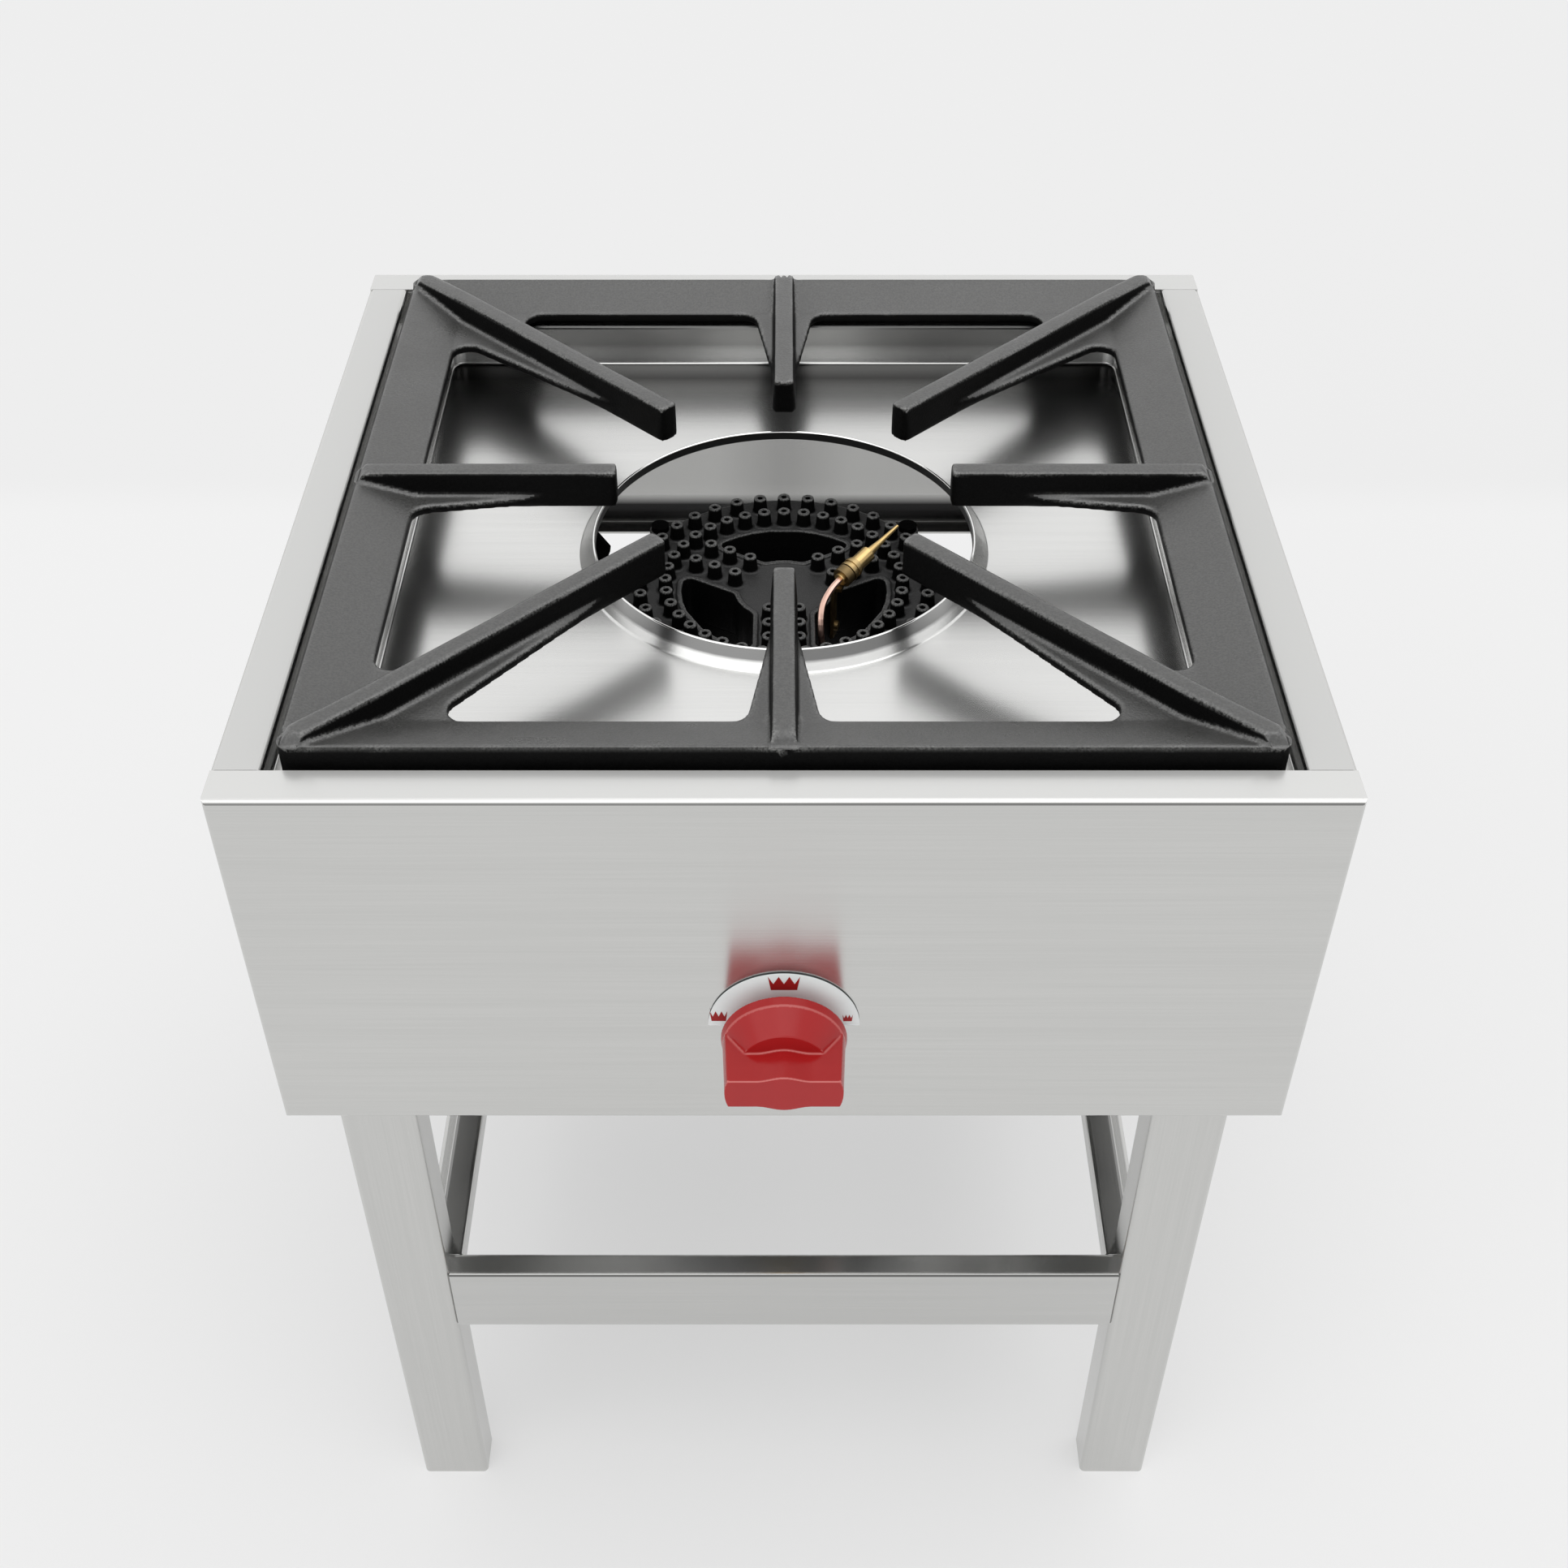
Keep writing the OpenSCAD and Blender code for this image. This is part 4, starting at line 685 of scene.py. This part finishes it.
def shape_rim(made):
    """The frame rises to a crisp outer edge, and each finger ends in a steep face there."""
    count = len(made.data.vertices)
    place = np.empty(count * 3, dtype=np.float32)
    made.data.vertices.foreach_get("co", place)
    place = place.reshape(-1, 3)
    rim_x, rim_y = 0.2215, 0.218
    frame_width = 0.031
    foot_z, finger_z, end_z = 0.5945, 0.6135, 0.609
    out = np.maximum(np.abs(place[:, 0]) - rim_x, np.abs(place[:, 1]) - rim_y)
    height = place[:, 2]
    frame_share = np.clip(1 + out / frame_width, 0, 1)
    place[:, 1] *= 1 - frame_share * 0.009
    low = np.clip((height - foot_z) / 0.005, 0, 1) * np.clip((finger_z - height) / 0.005, 0, 1)
    height = height + 0.0016 * frame_share * low
    end = np.maximum(0.614 - np.clip(out + 0.006, 0, 1) * 1.2, end_z)
    place[:, 2] = np.where(height > end_z, np.minimum(height, end), height)
    made.data.vertices.foreach_set("co", place.ravel())
    made.data.update()


# Tops are painted greyer than the sides as painted light, and edges paler as painted highlights and
# wear; the sides take a copy with less shine, as painted shade.
grate_colours = [(0.003, 0.003, 0.003), (0.062, 0.062, 0.06), (0.2, 0.2, 0.195)]
grate_iron = cast_iron("grate_iron", *grate_colours, rough=0.33, shine=0.9)
grate_sides = cast_iron("grate_sides", *grate_colours, rough=0.55, shine=0.06)
grate = relaxed_casting("pan_grate", "cast_grate", voxel=0.0012, rounds=2, fillet_rounds=12)
shape_rim(grate)
mark_light_and_wear(grate, edge_radius=0.002, least=0.45, inner_too=True)
dress_casting(grate, grate_iron, grate_sides, least_up=0.5)
black_x, black_y = 0.2195, 0.2142
for face in grate.data.polygons:
    # The rounded outer edge of the rim is as black as the sides, as painted shade.
    outer = max(abs(face.center.x) - black_x, abs(face.center.y) - black_y)
    if outer > 0 and face.normal.z < 0.85:
        face.material_index = 1
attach(grate, "grate")
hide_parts("pan_grate")

# Burner: two black iron castings with raised jets, bolted to the support bars. The sand
# finish is finer than the grate's; the tops, the jets' drilled tops too, are painted a little grey as
# painted light, and the edges paler as painted highlights and wear.
burner_colours = [(0.002, 0.002, 0.002), (0.028, 0.028, 0.028), (0.15, 0.15, 0.147)]
burner_iron = cast_iron("burner_iron", *burner_colours, rough=0.4, scale=1300.0, shine=0.3)
burner_sides = cast_iron("burner_sides", *burner_colours, rough=0.6, scale=1300.0, shine=0.06)
burner = relaxed_casting("burner_head", "cast_burner_head", voxel=0.0006, rounds=1)
mark_light_and_wear(burner, edge_radius=0.0012, least=0.4)
dress_casting(burner, burner_iron, burner_sides)
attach(burner, "root")
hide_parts("burner_head")
for name in ("burner_bowl", "mixer_tube"):
    dress(name, burner_sides)

# Support bars: mild steel bars that carry the burner between the side panels, with the
# burner's screws. All have the same heat-proof black paint.
black = (0.002, 0.002, 0.002)
black_paint = cast_iron(
    "black_paint", black, black, black, rough=0.75, scale=600.0, strength=0.1, shine=0.02
)
for name in ("front_support_bar", "rear_support_bar", "burner_screws"):
    dress(name, black_paint)


# Fasteners and gas line: zinc-plated steel screws, nuts and pipe, brass fittings, an
# aluminium feed tube and a copper tube.
def metal(name, colour, rough, streak=0.08):
    material, tree, shader = new_material(name, Metallic=1.0)
    place = add_node(tree, "ShaderNodeTexCoord")
    stain = add_node(
        tree,
        "ShaderNodeTexNoise",
        {"Vector": place.outputs["Object"], "Scale": 140.0, "Detail": 4.0},
    )
    dull = (*[c * (1 - 3 * streak) for c in colour], 1)
    bright = (*[min(1.0, c * (1 + streak)) for c in colour], 1)
    tint = mixed_colours(tree, stain.outputs["Fac"], dull, bright)
    gloss = add_node(
        tree,
        "ShaderNodeMapRange",
        {"Value": stain.outputs["Fac"], "To Min": rough + 0.1, "To Max": rough - 0.05},
    )
    tree.links.new(tint, shader.inputs["Base Color"])
    tree.links.new(gloss.outputs["Result"], shader.inputs["Roughness"])
    return material


def threaded(node, name, x, z, start, end, root_share, pitch, depth):
    """A copy of a fitting along y, turned down to the thread's root, with its thread. The
    root's radius is a share of the outer one, and depth is the rest."""
    made = copied_solid(node, name)
    radius = depth / (1 - root_share)
    for vertex in made.data.vertices:
        out = math.hypot(vertex.co.x - x, vertex.co.z - z)
        vertex.select = abs(out - radius) < 0.0002 and start - 0.0002 < vertex.co.y < end + 0.0002
    bpy.ops.object.mode_set(mode="EDIT")
    bpy.ops.transform.resize(value=(root_share, 1, root_share), center_override=(x, end, z))
    bpy.ops.object.mode_set(mode="OBJECT")
    bpy.ops.object.select_all(action="DESELECT")
    bpy.ops.mesh.primitive_circle_add(vertices=4, radius=1, location=(x, start + pitch, z))
    ridge = bpy.context.object
    bpy.ops.object.mode_set(mode="EDIT")
    bpy.ops.transform.resize(value=(depth, pitch * 0.46, 1))
    bpy.ops.transform.translate(value=(radius - depth, 0, 0))
    bpy.ops.object.mode_set(mode="OBJECT")
    turns = int((end - start) / pitch) - 2
    helix = ridge.modifiers.new("helix", "SCREW")
    helix.axis = "Y"
    helix.screw_offset = pitch
    helix.iterations = turns
    helix.steps = 24
    helix.render_steps = 24
    apply_all(ridge)
    bpy.ops.object.mode_set(mode="EDIT")
    bpy.ops.mesh.select_all(action="DESELECT")
    bpy.ops.mesh.select_mode(type="EDGE")
    bpy.ops.mesh.select_non_manifold()
    bpy.ops.mesh.edge_face_add()
    bpy.ops.mesh.select_all(action="SELECT")
    bpy.ops.mesh.normals_make_consistent(inside=False)
    bpy.ops.object.mode_set(mode="OBJECT")
    bpy.ops.object.transform_apply(location=True, rotation=True, scale=True)
    made.select_set(True)
    bpy.context.view_layer.objects.active = made
    bpy.ops.object.join()
    return made


zinc = metal("zinc", (0.55, 0.55, 0.54), 0.35)
brass = metal("brass", (0.70, 0.50, 0.22), 0.28)
old_brass = metal("old_brass", (0.50, 0.36, 0.17), 0.35, 0.15)
bronze = metal("bronze", (0.24, 0.17, 0.08), 0.4, 0.15)
aluminium = metal("aluminium", (0.62, 0.62, 0.63), 0.3)
copper = metal("copper", (0.80, 0.53, 0.44), 0.3)
for name in ("support_bolts", "air_shutter", "tap_nut", "tap_push_rod", "tap_spindle", "supply_pipe"):
    dress(name, zinc)
for name in ("injector", "tap_body", "supply_nut", "gas_inlet", "inlet_locknut", "thermocouple_tail"):
    dress(name, brass)
dress("feed_tube", aluminium)

# Gas inlet: turned from brass bar, with a half-inch pipe thread for the supply. It passes
# through the rear panel and is held there by its locknut.
gas_line_z = 0.457
inlet = threaded(
    "gas_inlet",
    "threaded_inlet",
    x=0.15,
    z=gas_line_z,
    start=0.247,
    end=0.283,
    root_share=0.914,
    pitch=0.001814,
    depth=0.0009,
)
inlet.data.materials.append(brass)
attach(inlet, "root")
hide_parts("gas_inlet")

# Thermocouple: turned brass body with a pointed tip, a darker grooved nut and a bare copper
# tube to the tap. A bronze clip holds it on the burner.
dress("thermocouple_probe", brass)
dress("thermocouple_nut", old_brass)
dress("thermocouple_clip", bronze)
dress("thermocouple_tube", copper)

# Dial: a half disc of white enamelled sheet behind the knob, with three red marks for
# the flame's size: large at the top, small and smallest at the sides.
dial_white = enamel("dial_white", (0.9, 0.96, 0.955), 0.6)
dial_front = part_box("dial_plate")[0][1]
# The plate's cut edge is painted near-black, as painted shade around the dial.
tint_zone(dial_white, (0.03, 0.03, 0.03), [("Y", dial_front + 0.0008, 0.0006, 0.0002)])
dress("dial_plate", dial_white)
mark_red = enamel("mark_red", (0.36, 0.012, 0.012), 0.5)


flame_count = 4


def flame_mark(name, x, z, width, height):
    """A row of pointed flames on a straight foot, printed on the dial."""
    bpy.ops.object.select_all(action="DESELECT")
    columns = 2 * (flame_count - 1)
    bpy.ops.mesh.primitive_grid_add(x_subdivisions=columns, y_subdivisions=1, size=1)
    made = bpy.context.object
    made.name = name
    mesh = made.data
    bpy.ops.object.mode_set(mode="EDIT")
    bpy.ops.mesh.select_mode(type="VERT")
    bpy.ops.mesh.select_all(action="DESELECT")
    bpy.ops.object.mode_set(mode="OBJECT")
    for vertex in mesh.vertices:
        column = round((vertex.co.x + 0.5) * columns)
        vertex.select = vertex.co.y > 0 and column % 2 == 1
    bpy.ops.object.mode_set(mode="EDIT")
    bpy.ops.transform.translate(value=(0, -0.55, 0))
    bpy.ops.object.mode_set(mode="OBJECT")
    for vertex in mesh.vertices:
        vertex.select = vertex.co.y < -0.4
    bpy.ops.object.mode_set(mode="EDIT")
    bpy.ops.transform.resize(value=(0.82, 1, 1), center_override=(0, -0.5, 0))
    bpy.ops.object.mode_set(mode="OBJECT")
    thickened = made.modifiers.new("print", "SOLIDIFY")
    thickened.thickness = 1
    thickened.offset = 1
    apply_all(made)
    made.scale = (width, height, 0.00012)
    made.rotation_euler = (math.radians(90), 0, 0)
    made.location = (x, dial_front + 0.00002, z)
    bpy.ops.object.transform_apply(location=True, rotation=True, scale=True)
    mesh.materials.append(mark_red)
    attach(made, "root")


flame_mark("large_flame_mark", x=0.0, z=0.4865, width=0.015, height=0.009)
flame_mark("medium_flame_mark", x=-0.031, z=0.4636, width=0.0083, height=0.0068)
flame_mark("small_flame_mark", x=0.0302, z=0.4623, width=0.0049, height=0.0045)

# Control knob: moulded in red plastic, with slightly paler edges painted on as painted
# highlights, pressed on the flat of the tap's spindle.
knob_red = enamel("knob_red", (0.41, 0.013, 0.014), rough=0.22, shine=0.35)
knob_tree = knob_red.node_tree
knob_shader = knob_tree.nodes["Principled BSDF"]
moulded = knob_shader.inputs["Base Color"].links[0].from_socket
edge_highlight = add_node(knob_tree, "ShaderNodeAttribute", attribute_name="wear_and_highlight")
knob_tree.links.new(
    mixed_colours(knob_tree, edge_highlight.outputs["Fac"], moulded, (0.62, 0.17, 0.16, 1)),
    knob_shader.inputs["Base Color"],
)


def keep_lines(made):
    """The painted highlight line stays off the knob's sides and off the foot of its cone."""
    count = len(made.data.vertices)
    place = np.empty(count * 3, dtype=np.float32)
    made.data.vertices.foreach_get("co", place)
    place = place.reshape(-1, 3)
    knob_back = -0.2495
    rim_radius, rim_depth = 0.0289, 0.0046
    foot_radius, foot_depth = 0.0205, 0.0165
    above = place[:, 2] - gas_line_z
    out = np.hypot(place[:, 0], above)
    depth = knob_back - place[:, 1]
    rim = np.abs(out - rim_radius) < 0.0004
    rim &= (np.abs(depth - rim_depth) < 0.0005) & (above > 0)
    foot = np.abs(out - foot_radius) < 0.002
    foot &= (np.abs(depth - foot_depth) < 0.002) & (above > 0.0112)
    cone = 0.029 - (depth - 0.0045) * 0.71
    sides = (out > 0.0262) & (depth > 0.0055) & (depth < 0.0325)
    sides &= np.abs(out - cone) > 0.0012
    back = (out > 0.0282) & ~rim
    stored = made.data.attributes["wear_and_highlight"]
    wear_and_highlight = np.empty(count, dtype=np.float32)
    stored.data.foreach_get("value", wear_and_highlight)
    wear_and_highlight[foot | sides | back] = 0
    # The rim carries a painted highlight line.
    wear_and_highlight[rim] = 0.6
    stored.data.foreach_set("value", wear_and_highlight)


knob = relaxed_casting("control_knob", "moulded_knob", voxel=0.0004, rounds=2)
mark_light_and_wear(knob, edge_radius=0.0008, least=0.35, inner_too=True)
keep_lines(knob)
knob.data.materials.append(knob_red)
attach(knob, "knob")
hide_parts("control_knob")
